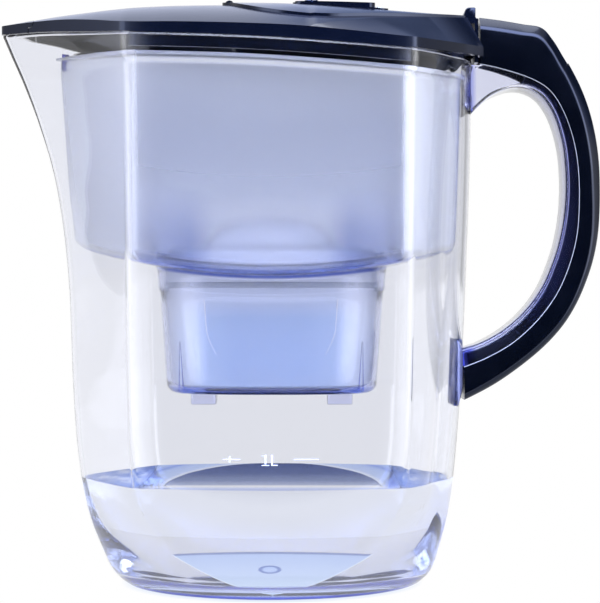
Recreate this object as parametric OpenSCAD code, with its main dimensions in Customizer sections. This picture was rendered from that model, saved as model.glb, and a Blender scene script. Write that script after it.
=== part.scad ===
// Water filter pitcher with a flip lid.
// Millimetres, +Z up. The origin is on the table under the middle of the jug,
// the spout points to -X and the handle to +X.

/* [Jug] */
// Thickness of the clear jug wall
jug_wall = 2.3; // [2.0:0.1:2.6]
// Thickness of the jug floor above the base recess
jug_floor = 2.6; // [2.2:0.1:3.2]
// Depth of the recess under the base
base_recess = 1.0; // [0.6:0.1:1.2]
// Length of the cut across each upright corner edge
corner_cut = 1.8; // [1.2:0.1:2.6]

/* [Handle] */
// Half width of the clear channel that carries the handle
core_half = 11.7; // [11.2:0.1:11.8]
// Wall of the clear channel
core_wall = 2.4; // [2.0:0.1:2.8]
// Floor of the clear channel, round the finger opening
core_floor = 1.6; // [1.4:0.1:2.2]
// Half width of the handle covers
cover_half = 13.5; // [13.2:0.1:13.6]
// Width of the bevel along the outside of the covers, at the top of the handle
cover_bevel = 4.8; // [4.0:0.1:5.2]

/* [Reservoir] */
// Wall of the reservoir that hangs in the jug
hopper_wall = 2.0; // [1.8:0.1:2.4]
// Lowest point of the reservoir floor
hopper_low = 136.5; // [134:0.5:138]
// Height of the underside of the filter well
well_bottom = 85.0; // [84:0.5:88]
// Half length of the filter well at its ridge
well_a = 50.6; // [49:0.1:51]
// Half width of the filter well at its ridge
well_b = 38.0; // [36:0.1:38.5]

/* [Lid] */
// Thickness of the lid moulding
lid_wall = 2.2; // [2.0:0.1:2.4]
// Gap round the fill flap
flap_gap = 0.5; // [0.4:0.1:0.8]
// Height of the fill flap above the lid
flap_proud = 1.2; // [0.9:0.1:1.4]

/* [Hidden] */

// ---------- small helpers ----------
function unit(v) = v / norm(v);
function clamp(v, a, b) = min(max(v, a), b);
// Smooth interpolation of column c of table T at t
function seg(T, t, k = 0) = (k >= len(T) - 2 || t < T[k + 1][0]) ? k : seg(T, t, k + 1);
function slope(T, k, c) = let (n = len(T) - 1, a = max(k - 1, 0), b = min(k + 1, n)) (T[b][c] - T[a][c]) / (T[b][0] - T[a][0]);
function lk(T, t, c) =
    let (u0 = clamp(t, T[0][0], T[len(T) - 1][0]), k = seg(T, u0), h = T[k + 1][0] - T[k][0], u = (u0 - T[k][0]) / h,
         m0 = slope(T, k, c) * h, m1 = slope(T, k + 1, c) * h)
    (2 * u * u * u - 3 * u * u + 1) * T[k][c] + (u * u * u - 2 * u * u + u) * m0
    + (3 * u * u - 2 * u * u * u) * T[k + 1][c] + (u * u * u - u * u) * m1;

// Corner points moved inwards by d
function inset(V, d) = let (n = len(V)) [for (i = [0:n - 1])
    let (a = unit(V[i] - V[(i + n - 1) % n]), b = unit(V[(i + 1) % n] - V[i]), p = [-a[1], a[0]], q = [-b[1], b[0]])
    V[i] + (p + q) * d / (1 + p * q)];
// Point at u along the bowed edge from P to Q
function bowed(P, Q, B, u) = let (d = unit(Q - P)) P + (Q - P) * u + [d[1], -d[0]] * B * 4 * u * (1 - u);
// Closed outline: corners V with cut length C and K steps, edges with bow B and M inner points
function outline(V, C, B, K, M) = let (n = len(V)) [for (i = [0:n - 1])
    let (h = (i + n - 1) % n, j = (i + 1) % n, lh = norm(V[i] - V[h]), li = norm(V[j] - V[i]),
         p0 = bowed(V[h], V[i], B[h], 1 - C[i] / lh), p2 = bowed(V[i], V[j], B[i], C[i] / li),
         s = C[i] / li, e = 1 - C[j] / li)
    each concat([for (k = [0:K[i]]) let (t = k / K[i]) p0 * (1 - t) * (1 - t) + V[i] * 2 * t * (1 - t) + p2 * t * t],
                [for (m = [1:1:M[i]]) bowed(V[i], V[j], B[i], s + (e - s) * m / (M[i] + 1))])];

// Solid between a stack of closed rings of equal length, with flat ends
module loft(R) {
    n = len(R[0]);
    m = len(R);
    polyhedron(points = [for (r = R) each r],
        faces = concat([[for (i = [0:n - 1]) i]],
                       [for (k = [0:m - 2], i = [0:n - 1]) let (j = (i + 1) % n) each [[k * n + i, (k + 1) * n + i, (k + 1) * n + j], [k * n + i, (k + 1) * n + j, k * n + j]]],
                       [[for (i = [n - 1:-1:0]) (m - 1) * n + i]]), convexity = 10);
}
// Closed hoop through a stack of rings
module band(R) {
    n = len(R[0]);
    m = len(R);
    polyhedron(points = [for (r = R) each r],
        faces = [for (k = [0:m - 1], i = [0:n - 1]) let (j = (i + 1) % n, l = (k + 1) % m) each [[k * n + i, l * n + i, l * n + j], [k * n + i, l * n + j, k * n + j]]], convexity = 10);
}
// One mesh from a few faceted solids
module as_mesh() { resize([0, 0, 0]) union() children(); }

// ---------- the rim ----------
// Height of the rim along the length of the jug: up to the spout and a little up to the handle
RIM = [[-124, 245.5], [-121.6, 245.1], [-101, 243.3], [-87, 241.5], [-74, 239.9], [-62, 238.6], [-40, 237.1], [-20, 236.0], [0, 234.9], [20, 233.7], [40, 232.6], [61, 231.7], [76, 232.3], [88, 233.2], [96, 233.6]];
rim_ref = 233;
function rim(x) = lk(RIM, x, 1);
// Heights above 150 lean with the rim
function lean(z, x) = z + clamp((z - 150) / (rim_ref - 150), 0, 1.2) * (rim(x) - rim_ref);

// ---------- jug ----------
// height, spout reach, corner x, corner y, front bow, rear reach, rear corner y, rear bow, cut of the spout ridge, cut of the rear corners, bow of the spout sides
JUG = [[0, 64.0, 29, 51.0, 6.5, 64.5, 30, 12, 9, 6, 4],
       [1.2, 66.2, 30, 52.2, 6.8, 67.0, 30, 12, 9, 6, 4],
       [3.5, 69.4, 31, 53.2, 7.2, 69.8, 30, 12, 9, 6, 4],
       [7, 72.3, 33, 54.2, 7.8, 72.2, 30, 12, 9, 6, 3.8],
       [12, 74.9, 36, 55.0, 8.6, 74.1, 29.5, 11.5, 9, 6, 3.4],
       [18, 77.6, 41, 55.6, 9.6, 75.8, 29.5, 11.2, 9, 6, 3],
       [27, 81.2, 48.6, 56.3, 10.4, 78.2, 29, 11, 9, 6, 2.6],
       [36, 83.7, 54.0, 57.0, 10.8, 80.0, 29, 10.8, 8.5, 6, 2.3],
       [46, 85.7, 57.0, 57.6, 11, 81.4, 29, 10.6, 8, 6, 2],
       [60, 87.6, 58.6, 58.2, 11, 82.8, 29, 10.4, 8, 6, 1.8],
       [80, 89.2, 59.3, 58.8, 11, 84.4, 29, 10.4, 7.5, 6, 1.6],
       [105, 90.3, 59.8, 59.0, 11, 85.8, 29, 10.4, 7, 6, 1.5],
       [128, 91.1, 60.2, 59.1, 11, 86.8, 29, 10.4, 6.5, 6, 1.5],
       [150, 93.0, 60.4, 59.2, 11, 87.7, 29, 10.4, 6, 6, 1.5],
       [165, 95.2, 60.5, 59.3, 11, 88.3, 29, 10.4, 5.5, 6, 1.5],
       [182, 99.0, 60.6, 59.4, 11, 88.8, 29, 10.2, 5, 6, 1.5],
       [200, 105.4, 60.7, 59.5, 11, 89.2, 29, 10, 4.5, 6, 1.4],
       [214, 111.6, 60.8, 59.6, 11, 89.3, 29, 10, 4, 6, 1.3],
       [221, 115.2, 61.0, 59.8, 11, 89.3, 29, 10, 4, 6, 1.2],
       [224.2, 116.9, 61.8, 60.7, 11, 89.7, 29.2, 10, 4, 6, 1.2],
       [233, 121.4, 62.0, 60.8, 11, 89.7, 29.3, 10, 4, 6, 1.2]];
KS = [4, 3, 3, 3, 3, 3, 3];
MS = [4, 7, 3, 5, 3, 7, 4];
// The seven corners: spout ridge, two front, two rear, two back
function plan(xl, xc, yc, bf, xb, yr, br, cn, bl) =
    let (a = atan2(yc, xl - xc) + atan(4 * bl / norm([xl - xc, yc])), xv = xl + 0.5 * cn * cos(a))
    [[-xv, 0], [-xc, -yc], [xc, -yc], [xb - br, -yr], [xb - br, yr], [xc, yc], [-xc, yc]];
function plan_ring(T, z, d, g = 0) =
    let (xl = lk(T, z, 1), xc = lk(T, z, 2), yc = lk(T, z, 3), bf = lk(T, z, 4), xb = lk(T, z, 5), yr = lk(T, z, 6), br = lk(T, z, 7), cn = lk(T, z, 8), cr = lk(T, z, 9), bl = lk(T, z, 10),
         V = inset(plan(xl, xc, yc, bf, xb, yr, br, cn, bl), d), cc = max(corner_cut - d * 0.15, 0.7) + g)
    outline(V, [max(cn - d * 0.3, 1.5), cc, cc, cr, cr, cc, cc], [bl, bf, 1.5, br, 1.5, bf, bl], KS, MS);
// Towards the foot the outline turns into an ellipse
BASE_REF = plan_ring(JUG, 0, 0);
function round_to(z) = z > 44 ? 0 : pow(1 - z / 44, 1.7);
function jug_ring(z, d) =
    let (P = plan_ring(JUG, z, d), m = round_to(z), xl = lk(JUG, z, 1) - d, xb = lk(JUG, z, 5) - d, yb = lk(JUG, z, 3) + lk(JUG, z, 4) - d)
    [for (i = [0:len(P) - 1]) let (q = BASE_REF[i], t = atan2(q[1] / 57.5, q[0] / (q[0] < 0 ? 64.0 : 64.5)), e = [(q[0] < 0 ? xl : xb) * cos(t), yb * sin(t)], p = P[i] * (1 - m) + e * m)
        [p[0], p[1], lean(z, p[0])]];
// Inner wall: inset against height, wider near the floor where the wall turns in
function jug_inset(z) = z >= 46 ? jug_wall : jug_wall + 3.6 * pow(1 - z / 46, 5) + 0.9 * (1 - z / 46);
inner_z = base_recess + jug_floor;
JUG_OUT = [0, 1.2, 3.5, 7, 12, 18, 26, 35, 46, 60, 80, 105, 128, 145, 157, 169, 181, 192, 203, 213, 221, 224.2, 233];
JUG_IN = [233, 224.2, 221, 213, 203, 192, 181, 169, 157, 145, 128, 105, 80, 60, 46, 35, 26, 18, 12, 8];
module jug_shell() {
    loft(concat([jug_ring(base_recess, 6.5), jug_ring(0, 5)],
                [for (z = JUG_OUT) jug_ring(z, 0)],
                [for (z = JUG_IN) jug_ring(z, jug_inset(z))],
                [jug_ring(inner_z + 1.6, jug_inset(5.2) + 0.3), jug_ring(inner_z + 0.4, jug_inset(4) + 1.7),
                 [for (p = jug_ring(inner_z, jug_inset(3.6) + 4)) [p[0], p[1], inner_z]]]));
}

// Handle stations, from the rim round to the lower root:
// inner edge x z, lower edge of the cover x z, outer edge x z, how far the channel walls stand up inside the cover
HAND = [[0, 87.6, 207.9, 87.6, 230.8, 87.6, 252.6, 0],
        [1, 92.0, 212.4, 92.4, 230.6, 92.6, 252.1, 0],
        [2, 96.6, 216.4, 98.6, 229.4, 102.0, 250.9, 3],
        [3, 101.8, 219.1, 105.0, 227.7, 112.0, 249.2, 3],
        [4, 107.6, 220.7, 111.6, 225.6, 120.4, 247.6, 3],
        [5, 113.6, 220.1, 117.2, 223.2, 125.6, 242.0, 3],
        [6, 118.6, 217.6, 122.0, 220.2, 130.0, 234.8, 3],
        [7, 122.2, 213.7, 125.8, 216.0, 134.0, 228.0, 3],
        [8, 125.2, 208.4, 129.0, 210.4, 138.2, 219.2, 3],
        [9, 127.5, 202.0, 131.8, 203.6, 141.6, 209.4, 3],
        [10, 129.4, 194.1, 134.2, 195.2, 144.0, 198.8, 3],
        [11, 130.4, 185.3, 135.7, 186.0, 145.4, 187.8, 3],
        [12, 130.7, 176.1, 136.3, 176.2, 145.8, 176.6, 3],
        [13, 130.2, 166.8, 136.2, 166.4, 145.6, 165.4, 3],
        [14, 129.0, 158.0, 135.5, 156.6, 144.7, 154.6, 3],
        [15, 127.0, 149.3, 133.6, 147.2, 142.7, 144.4, 3],
        [16, 124.2, 141.1, 130.6, 138.0, 139.5, 134.6, 3],
        [17, 120.6, 132.8, 126.4, 129.0, 135.2, 124.8, 3],
        [18, 115.5, 125.0, 120.6, 120.6, 129.4, 115.4, 3],
        [19, 108.9, 117.8, 113.4, 112.8, 121.6, 106.6, 3],
        [20, 101.1, 111.7, 105.0, 106.0, 111.8, 98.2, 3],
        [21, 92.3, 107.0, 95.2, 100.6, 99.6, 89.6, 3],
        [22, 85.4, 104.8, 86.4, 97.0, 87.0, 82.8, 3],
        [23, 82.6, 103.8, 82.8, 96.0, 82.8, 81.6, 0]];
function hp(t, c) = [lk(HAND, t, c), lk(HAND, t, c + 1)];
// A ring of the section S, given as [y, n, which]: n runs out from the inner edge (0), the cover's lower edge (1) or the outer edge (2)
function hand_ring(t, S) =
    let (I = hp(t, 1), L = hp(t, 3), O = hp(t, 5), a = unit(L - I), b = unit(O - L))
    [for (s = S) let (p = s[2] == 0 ? I + a * s[1] : s[2] == 1 ? L + b * s[1] : O + b * s[1]) [p[0], s[0], p[1]]];
function core_section(t) = let (w = core_half, q = core_half - core_wall, k = lk(HAND, t, 7))
    [[-w + 1.4, 0, 0], [w - 1.4, 0, 0], [w, 1.4, 0], [w, k, 1], [q, k, 1], [q, core_floor, 0], [-q, core_floor, 0], [-q, k, 1], [-w, k, 1], [-w, 1.4, 0]];
// The bevel fades out towards the lower root
BEVEL = [[0, 1], [7, 1], [10, 0.86], [12, 0.74], [14, 0.56], [16, 0.42], [18, 0.34], [23, 0.32]];
function cover_section(lift, t = 0) = let (w = cover_half, v = core_half + 0.2, b = cover_bevel * lk(BEVEL, t, 1))
    [[-w, 0, 1], [-v, 0, 1], [-v, -b - 1.4, 2], [-v + 3.2, -2.4, 2], [v - 3.2, -2.4, 2], [v, -b - 1.4, 2], [v, 0, 1], [w, 0, 1],
     [w + lift * 0.5, -b, 2], [w - b + 1, -0.5 + lift, 2], [w - b, lift, 2], [-w + b, lift, 2], [-w + b - 1, -0.5 + lift, 2], [-w - lift * 0.5, -b, 2]];
function insert_section(t) = let (q = core_half - core_wall - 0.3)
    [[-q, core_floor + 0.3, 0], [q, core_floor + 0.3, 0], [q, 2.4, 1], [q - 1, 3.2, 1], [-q + 1, 3.2, 1], [-q, 2.4, 1]];
module handle_core() { loft([for (t = [0.02:0.5:22.6]) hand_ring(t, core_section(t))]); }
// The pads where the handle meets the jug wall
module root_pads() {
    hull() {
        translate([82.4, 0, 94]) cube([0.6, 40, 30], center = true);
        translate([84.8, 0, 95.5]) cube([0.6, 23, 18.6], center = true);
    }
}
// Raised one-litre mark on the near wall: dash with a tick, figure, letter, dash
mark_z = 60;
function wall_y(x, z) = -(lk(JUG, z, 3) + lk(JUG, z, 4) * (1 - x * x / pow(lk(JUG, z, 2), 2)));
module stroke_box(x0, z0, x1, z1) { translate([x0, wall_y((x0 + x1) / 2, mark_z) - 0.25, z0]) cube([x1 - x0, 1, z1 - z0]); }
module volume_mark() {
    stroke_box(-19.4, 59.7, -12.2, 60.4);
    stroke_box(-16.9, 58.6, -16.2, 61.5);
    stroke_box(-2.1, 57.9, -1.3, 62.2);
    stroke_box(-3.3, 61.2, -2.1, 61.9);
    stroke_box(-3.3, 57.3, -0.1, 57.9);
    stroke_box(0.6, 57.3, 1.4, 62.2);
    stroke_box(0.6, 57.3, 3.4, 58.0);
    stroke_box(10.0, 59.7, 20.4, 60.4);
}
module jug_body() {
    color([0.86, 0.89, 0.98, 0.35]) as_mesh() {
        jug_shell();
        // gate pad in the middle of the base recess, level with the foot
        cylinder(r = 5, h = 1.6, $fn = 48);
        volume_mark();
        difference() {
            union() { handle_core(); root_pads(); }
            loft([for (z = [60, 80, 105, 128, 145, 157, 169, 181, 192, 203, 213, 221, 224.2, 228, 240]) [for (p = plan_ring(JUG, min(z, 233), 1.2)) [p[0], p[1], lean(z, p[0])]]]);
        }
    }
}
module handle_cap() { color([0.02, 0.04, 0.12]) as_mesh() loft([for (t = [1.0, 1.4, 1.8, 2.2, 2.7, 3.2, 3.6, 4.0, 4.3, 4.6, 5.0, 5.5, 6.0, 6.49]) hand_ring(t, cover_section(0))]); }
module handle_cover() { color([0.01, 0.03, 0.09]) as_mesh() loft([for (t = [6.5, 6.9, 7.4, 8, 8.5, 9, 9.5, 10, 10.5, 11, 11.5, 12, 12.5, 13, 13.5, 14, 14.5, 15, 15.5, 16, 16.5, 17, 17.5, 18, 18.5, 19, 19.5, 20, 20.5, 21, 21.5, 21.9, 22.2]) hand_ring(t, cover_section(0.5, t))]); }
module handle_insert() { color([0.01, 0.02, 0.07]) loft(([for (t = [4.3, 4.6, 5, 5.5, 6, 6.5, 7, 7.5, 8, 8.5, 9, 9.5, 10, 10.5, 11, 11.5, 12, 12.5, 13, 13.5, 14, 14.5, 15, 15.5, 16, 16.5, 17, 17.5, 18, 18.5, 19, 19.5, 20, 20.5, 21, 21.4, 21.8]) hand_ring(t, insert_section(t))])); }

// ---------- reservoir with filter well ----------
HOP = [[130, 86.6, 56.6, 55.4, 10.4, 81.6, 28, 10, 8, 6, 1.6],
       [150, 88.0, 57.1, 55.8, 10.7, 82.3, 28.2, 10, 7.5, 6, 1.5],
       [182, 90.9, 57.4, 56.1, 10.9, 83.3, 28.4, 10, 7, 6, 1.5],
       [210, 93.3, 57.6, 56.3, 10.9, 84.2, 28.5, 10, 6.5, 6, 1.5],
       [226, 94.7, 57.8, 56.5, 10.9, 84.8, 28.6, 10, 6, 6, 1.5],
       [240, 95.6, 58.0, 56.7, 10.9, 85.2, 28.7, 10, 6, 6, 1.5]];
function sag(x) = hopper_low + 0.00178 * x * x;
// Heights between the dished floor and the leaning rim
function hop_z(z, x) = z <= 150 ? z + (sag(x) - hopper_low) * clamp((170 - z) / (170 - hopper_low), 0, 1) : lean(z, x) + (sag(x) - hopper_low) * clamp((170 - z) / (170 - hopper_low), 0, 1);
function hop_ring(z, d) = [for (p = plan_ring(HOP, z, d)) [p[0], p[1], hop_z(z, p[0])]];
// Flange: follows the inside of the jug rim, and crosses over behind the spout
FLANGE = [[200, 96.6, 59.2, 57.9, 11, 86.9, 28.8, 10, 6, 6, 1.5], [240, 96.6, 59.2, 57.9, 11, 86.9, 28.8, 10, 6, 6, 1.5]];
function flange_ring(z) = [for (p = plan_ring(FLANGE, 220, 0)) [p[0], p[1], lean(rim_ref, p[0]) - rim_ref + z]];
function super(a, b, t, p = 2.8) = let (r = pow(pow(abs(cos(t)) / a, p) + pow(abs(sin(t)) / b, p), -1 / p)) [r * cos(t), r * sin(t)];
// Same number of points as the reservoir outline, by direction
HOP_REF = plan_ring(HOP, 150, 0);
function oval_ring(a, b, z, dip = 0) = [for (q = HOP_REF) let (t = atan2(q[1] / 67, q[0] / 85), p = super(a, b, t)) [p[0], p[1], z + dip * (sag(p[0]) - hopper_low)]];
module hopper_basin() {
    w = hopper_wall;
    loft(concat([oval_ring(well_a - 8, well_b - 8, well_bottom), oval_ring(well_a - 5.4, well_b - 4.6, well_bottom + 0.3), oval_ring(well_a - 3.9, well_b - 3.1, well_bottom + 2),
                 oval_ring(well_a - 3.3, well_b - 2.5, well_bottom + 6), oval_ring(well_a - 0.6, well_b - 0.5, 127.2, 0.6), oval_ring(well_a, well_b, 128.6, 0.6), oval_ring(well_a + 0.2, well_b + 0.1, 130.2, 0.6),
                 oval_ring(well_a + 1.1, well_b + 0.6, hopper_low, 1)],
                [hop_ring(hopper_low, 7), hop_ring(hopper_low + 0.6, 3.2), hop_ring(hopper_low + 2.6, 0.9), hop_ring(hopper_low + 6, 0)],
                [for (z = [152, 175, 198, 219]) hop_ring(z, 0)],
                [[for (i = [0:len(HOP_REF) - 1]) let (p = plan_ring(HOP, 222, 0)[i]) [p[0], p[1], rim(p[0]) - 9]],
                 flange_ring(rim_ref - 8.8), flange_ring(rim_ref - 7.1),
                 [for (p = plan_ring(HOP, 226, w)) [p[0], p[1], rim(p[0]) - 7.1]]],
                [for (z = [219, 198, 175, 152]) hop_ring(z, w)],
                [hop_ring(hopper_low + 7, w), hop_ring(hopper_low + 4, w + 0.9), hop_ring(hopper_low + w + 0.6, w + 3), hop_ring(hopper_low + w, 9)],
                [oval_ring(well_a - 0.9, well_b - 1.2, hopper_low + w, 1), oval_ring(well_a - 2, well_b - 2, 130.2, 0.6),
                 oval_ring(well_a - 5.3, well_b - 4.5, well_bottom + 6), oval_ring(well_a - 6, well_b - 5.2, well_bottom + 3), oval_ring(well_a - 7.6, well_b - 6.8, well_bottom + 2)]));
}
module well_foot(x) {
    hull() for (dx = [-4.2, 4.2], dy = [-10, 10]) translate([x + dx, dy, 79.8]) cylinder(r = 1.4, h = 6, $fn = 16);
}
module hopper() {
    color([0.62, 0.68, 0.86, 0.45]) difference() {
        as_mesh() {
            union() {
                union() {
                    hopper_basin();
                    well_foot(-30.4);
                    well_foot(30.4);
                    // gate mark under the well
                    translate([0, 0, well_bottom - 1]) cylinder(r1 = 2.4, r2 = 3.6, h = 1.2, $fn = 32);
                    // upright rib on the front wall
                    translate([-92.8, -9, 228]) cube([3, 18, 8.3]);
                }
            }
        }
        for (a = [-24:12:24]) translate([a, 0, well_bottom - 4]) cylinder(r = 2.6, h = 8);
        for (a = [-18:12:18], s = [-1, 1]) translate([a, s * 13, well_bottom - 4]) cylinder(r = 2.6, h = 8);
    }
}
// ---------- cartridge ----------
ca = well_a - 6.1;
cb = well_b - 5.3;
cz = well_bottom + 2.5;
function cart_ring(a, b, z, dip = 0) = [for (i = [0:35]) let (p = super(a, b, i * 10)) [p[0], p[1], z + dip * (sag(p[0]) - hopper_low)]];
module cartridge_shell() {
    w = 1.5;
    color([0.93, 0.95, 0.99, 0.8]) difference() {
        loft([cart_ring(ca - 3, cb - 3, cz), cart_ring(ca - 0.4, cb - 0.4, cz + 1), cart_ring(ca, cb, cz + 4), cart_ring(ca + 2.7, cb + 2.4, 128),
              cart_ring(ca + 3.4, cb + 2.8, 138.9, 1), cart_ring(ca + 7.2, cb + 6.2, 139.3, 1), cart_ring(ca + 7.2, cb + 6.2, 140.8, 1), cart_ring(ca + 3.0, cb + 2.4, 140.8, 1),
              cart_ring(ca + 2.6 - w, cb + 2.3 - w, 128), cart_ring(ca - w, cb - w, cz + 5), cart_ring(ca - w - 3, cb - w - 3, cz + w)]);
        for (a = [-24:12:24]) translate([a, 0, cz - 1]) cylinder(r = 2, h = 4);
        for (a = [-18:12:18], s = [-1, 1]) translate([a, s * 13, cz - 1]) cylinder(r = 2, h = 4);
    }
}
module dome_rings(d, z0) {
    loft([cart_ring(ca + 2 - d, cb + 1.5 - d, z0), cart_ring(ca + 1.8 - d, cb + 1.3 - d, 146.4 - d), cart_ring(ca - 1.4 - d, cb - 1.2 - d, 148.4 - d), cart_ring(30 - d, 22.6 - d, 149.8 - d),
          cart_ring(27.6 - d, 20.8 - d, 152.4 - d), cart_ring(24.4 - d, 18.4 - d, 156.6 - d), cart_ring(19.4 - d, 14.6 - d, 160 - d), cart_ring(12.6 - d, 9.4 - d, 162.2 - d), cart_ring(7 - d, 5.2 - d, 163 - d)]);
}
module cartridge_cap() {
    color([0.93, 0.95, 0.99, 0.85]) difference() {
        as_mesh() difference() { dome_rings(0, 138.6); dome_rings(1.5, 130); }
        // inlet slots
        for (x = [-14:7:14]) translate([x - 1, -11, 140]) cube([2, 22, 30]);
    }
}
module cartridge_seal() {
    color([0.9, 0.9, 0.92]) band([cart_ring(ca + 3.12, cb + 2.7, 131.4), cart_ring(ca + 3.7, cb + 3.0, 132), cart_ring(ca + 3.7, cb + 3.0, 133.4), cart_ring(ca + 3.16, cb + 2.74, 134)]);
}
module oval_disc(a, b, z, h) { translate([0, 0, z]) linear_extrude(h) polygon([for (i = [0:47]) super(a, b, i * 7.5)]); }
module inlet_mesh() { color([0.8, 0.82, 0.85]) oval_disc(ca + 0.6, cb + 0.2, 137.6, 0.8); }
module carbon_bed() { color([0.08, 0.08, 0.09]) oval_disc(ca - 1.2, cb - 1.4, 114.2, 23); }
module resin_bed() { color([0.75, 0.5, 0.25]) oval_disc(ca - 2.3, cb - 2.4, cz + 5.2, 114 - cz - 5.2); }
module outlet_mesh() { color([0.8, 0.82, 0.85]) oval_disc(ca - 3.2, cb - 3.2, cz + 4.2, 0.8); }

// ---------- lid ----------
LIDV = [[-123.4, 0], [-62.2, -60.4], [61.2, -60.4], [93.8, -16.4], [93.8, 16.4], [61.2, 60.4], [-62.2, 60.4]];
LK = [4, 3, 3, 2, 2, 3, 3];
LM = [5, 10, 5, 0, 5, 10, 5];
function lid_outline(d) = outline(inset(LIDV, d), [5, 1.8, 1.8, 0.4, 0.4, 1.8, 1.8], [1.2, 10.7, 1.2, 0, 1.2, 10.7, 1.2], LK, LM);
// Front half of the outline, spout tip to rear corner
function half_line(d) = let (r = lid_outline(d)) [for (i = [2:34]) i == 2 ? [r[2][0], 0] : r[i]];
crease_at = 18;
LID_EDGE = [[-122, 249.2], [-113, 248.9], [-105, 248.5], [-96, 247.9], [-87, 247.0], [-74, 245.0], [-62, 242.9], [-40, 241.9], [-8, 240.6], [12, 239.7], [38, 237.8], [60, 236.4], [76, 236.9], [94, 237.9]];
LID_SPINE = [[16, 239.6], [25, 242.0], [37, 244.6], [45, 246.1], [65, 248.7], [86.6, 251.2]];
LID_TOP = [[-122, 249.2], [-118, 249.7], [-113.5, 250.3], [-104, 251.4], [-95, 252.6], [-86, 253.6], [-77, 254.6], [-68, 255.5], [-59, 256.2], [-50, 256.6], [-40, 256.9], [-30, 257.0], [-10, 257.0], [10, 256.6], [30, 255.5], [50, 254.1], [62, 253.3], [75, 252.4], [86.6, 251.6]];
// Lid body: outer skin moved in by d and down by t, its lower edge at e above the rim
module lid_body(d, t, e) {
    H = half_line(d);
    n = len(H) - 1;
    m = 12;
    P1 = H[crease_at];
    P2 = [86.6 - d, -14.8 + d];
    S = [for (p = H) [p[0], p[1], rim(p[0]) + e]];
    E = [for (p = H) [p[0], p[1], lk(LID_EDGE, p[0], 1) - t]];
    D = [for (i = [0:n]) i <= crease_at ? E[i] : let (f = (i - crease_at) / (n - crease_at), q = P1 * (1 - f) + P2 * f) [q[0], q[1], max(lk(LID_SPINE, q[0], 1), lk(LID_EDGE, P1[0], 1) + 0.02) - t]];
    // across the lid at each station
    T = [for (i = [0:n]) [for (j = [0:m]) let (v = -cos(180 * j / m), p = D[i], c = max(lk(LID_TOP, p[0], 1) - t, p[2])) [p[0], -p[1] * v, p[2] + (c - p[2]) * (1 - v * v)]]];
    B = [for (i = [0:n]) [for (j = [0:m]) let (v = -cos(180 * j / m), p = S[i]) [p[0], -p[1] * v, p[2]]]];
    w = m + 1;
    nt = (n + 1) * w;
    Em = [for (p = E) [p[0], -p[1], p[2]]];
    pts = concat([for (r = T) each r], [for (r = B) each r], E, Em);
    function ti(i, j) = i * w + j;
    function bi(i, j) = nt + i * w + j;
    function ef(i) = 2 * nt + i;
    function eb(i) = 2 * nt + (n + 1) + i;
    polyhedron(points = pts, faces = concat(
        [for (i = [0:n - 1], j = [0:m - 1]) each [[ti(i, j), ti(i, j + 1), ti(i + 1, j + 1)], [ti(i, j), ti(i + 1, j + 1), ti(i + 1, j)]]],
        [for (i = [0:n - 1], j = [0:m - 1]) each [[bi(i, j), bi(i + 1, j + 1), bi(i, j + 1)], [bi(i, j), bi(i + 1, j), bi(i + 1, j + 1)]]],
        // side bands, front and back
        [for (i = [0:n - 1]) each [[bi(i, 0), ef(i), ef(i + 1)], [bi(i, 0), ef(i + 1), bi(i + 1, 0)], [bi(i, m), eb(i + 1), eb(i)], [bi(i, m), bi(i + 1, m), eb(i + 1)]]],
        // scooped sides of the spine
        [for (i = [0:n - 1]) each [[ef(i), ti(i, 0), ti(i + 1, 0)], [ef(i), ti(i + 1, 0), ef(i + 1)], [eb(i), ti(i + 1, m), ti(i, m)], [eb(i), eb(i + 1), ti(i + 1, m)]]],
        // rear end
        [for (j = [0:m - 1]) each [[bi(n, j), ti(n, j + 1), bi(n, j + 1)], [bi(n, j), ti(n, j), ti(n, j + 1)]]],
        [[bi(n, 0), ef(n), ti(n, 0)], [bi(n, m), ti(n, m), eb(n)]]), convexity = 10);
}
// Outline of the fill flap
FLAP_HALF = [[-21.8, 0], [-21.7, -12], [-21.3, -21], [-17.6, -27.5], [-12.6, -38], [-5, -47], [4, -52.6], [14, -55], [24, -54], [34, -49], [44, -42.8], [54, -36.2], [64, -29], [74, -21.4], [82, -14.8], [87.5, -10.4], [91.2, -9.6], [91.2, 0]];
FLAP = concat(FLAP_HALF, [for (i = [len(FLAP_HALF) - 2:-1:1]) [FLAP_HALF[i][0], -FLAP_HALF[i][1]]]);
// Hinge lines: the spout flap's behind the spout, the fill flap's near its front edge
sx = -107.2;
sz = 248.7;
hx = -18.6;
hz = 256.4;
module along_y(x, z, r, y0, y1, f = 48) { translate([x, y1, z]) rotate([90, 0, 0]) cylinder(r = r, h = y1 - y0, $fn = f); }
module flap_prism(d, z0, z1) { translate([0, 0, z0]) linear_extrude(z1 - z0) offset(delta = d) polygon(FLAP); }
module slab(x0, x1, hy, z0, z1, r = 3) { translate([0, 0, z0]) linear_extrude(z1 - z0) translate([x0 + r, -hy + r]) offset(r = r, $fn = 32) square([x1 - x0 - 2 * r, 2 * hy - 2 * r]); }
module spine_profile() { polygon([[85.3, 248.7], [85.3, 251.35], [91.6, 250.9], [91.6, 231.4], [90.1, 231.4], [90.1, 248.7]]); }
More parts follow.
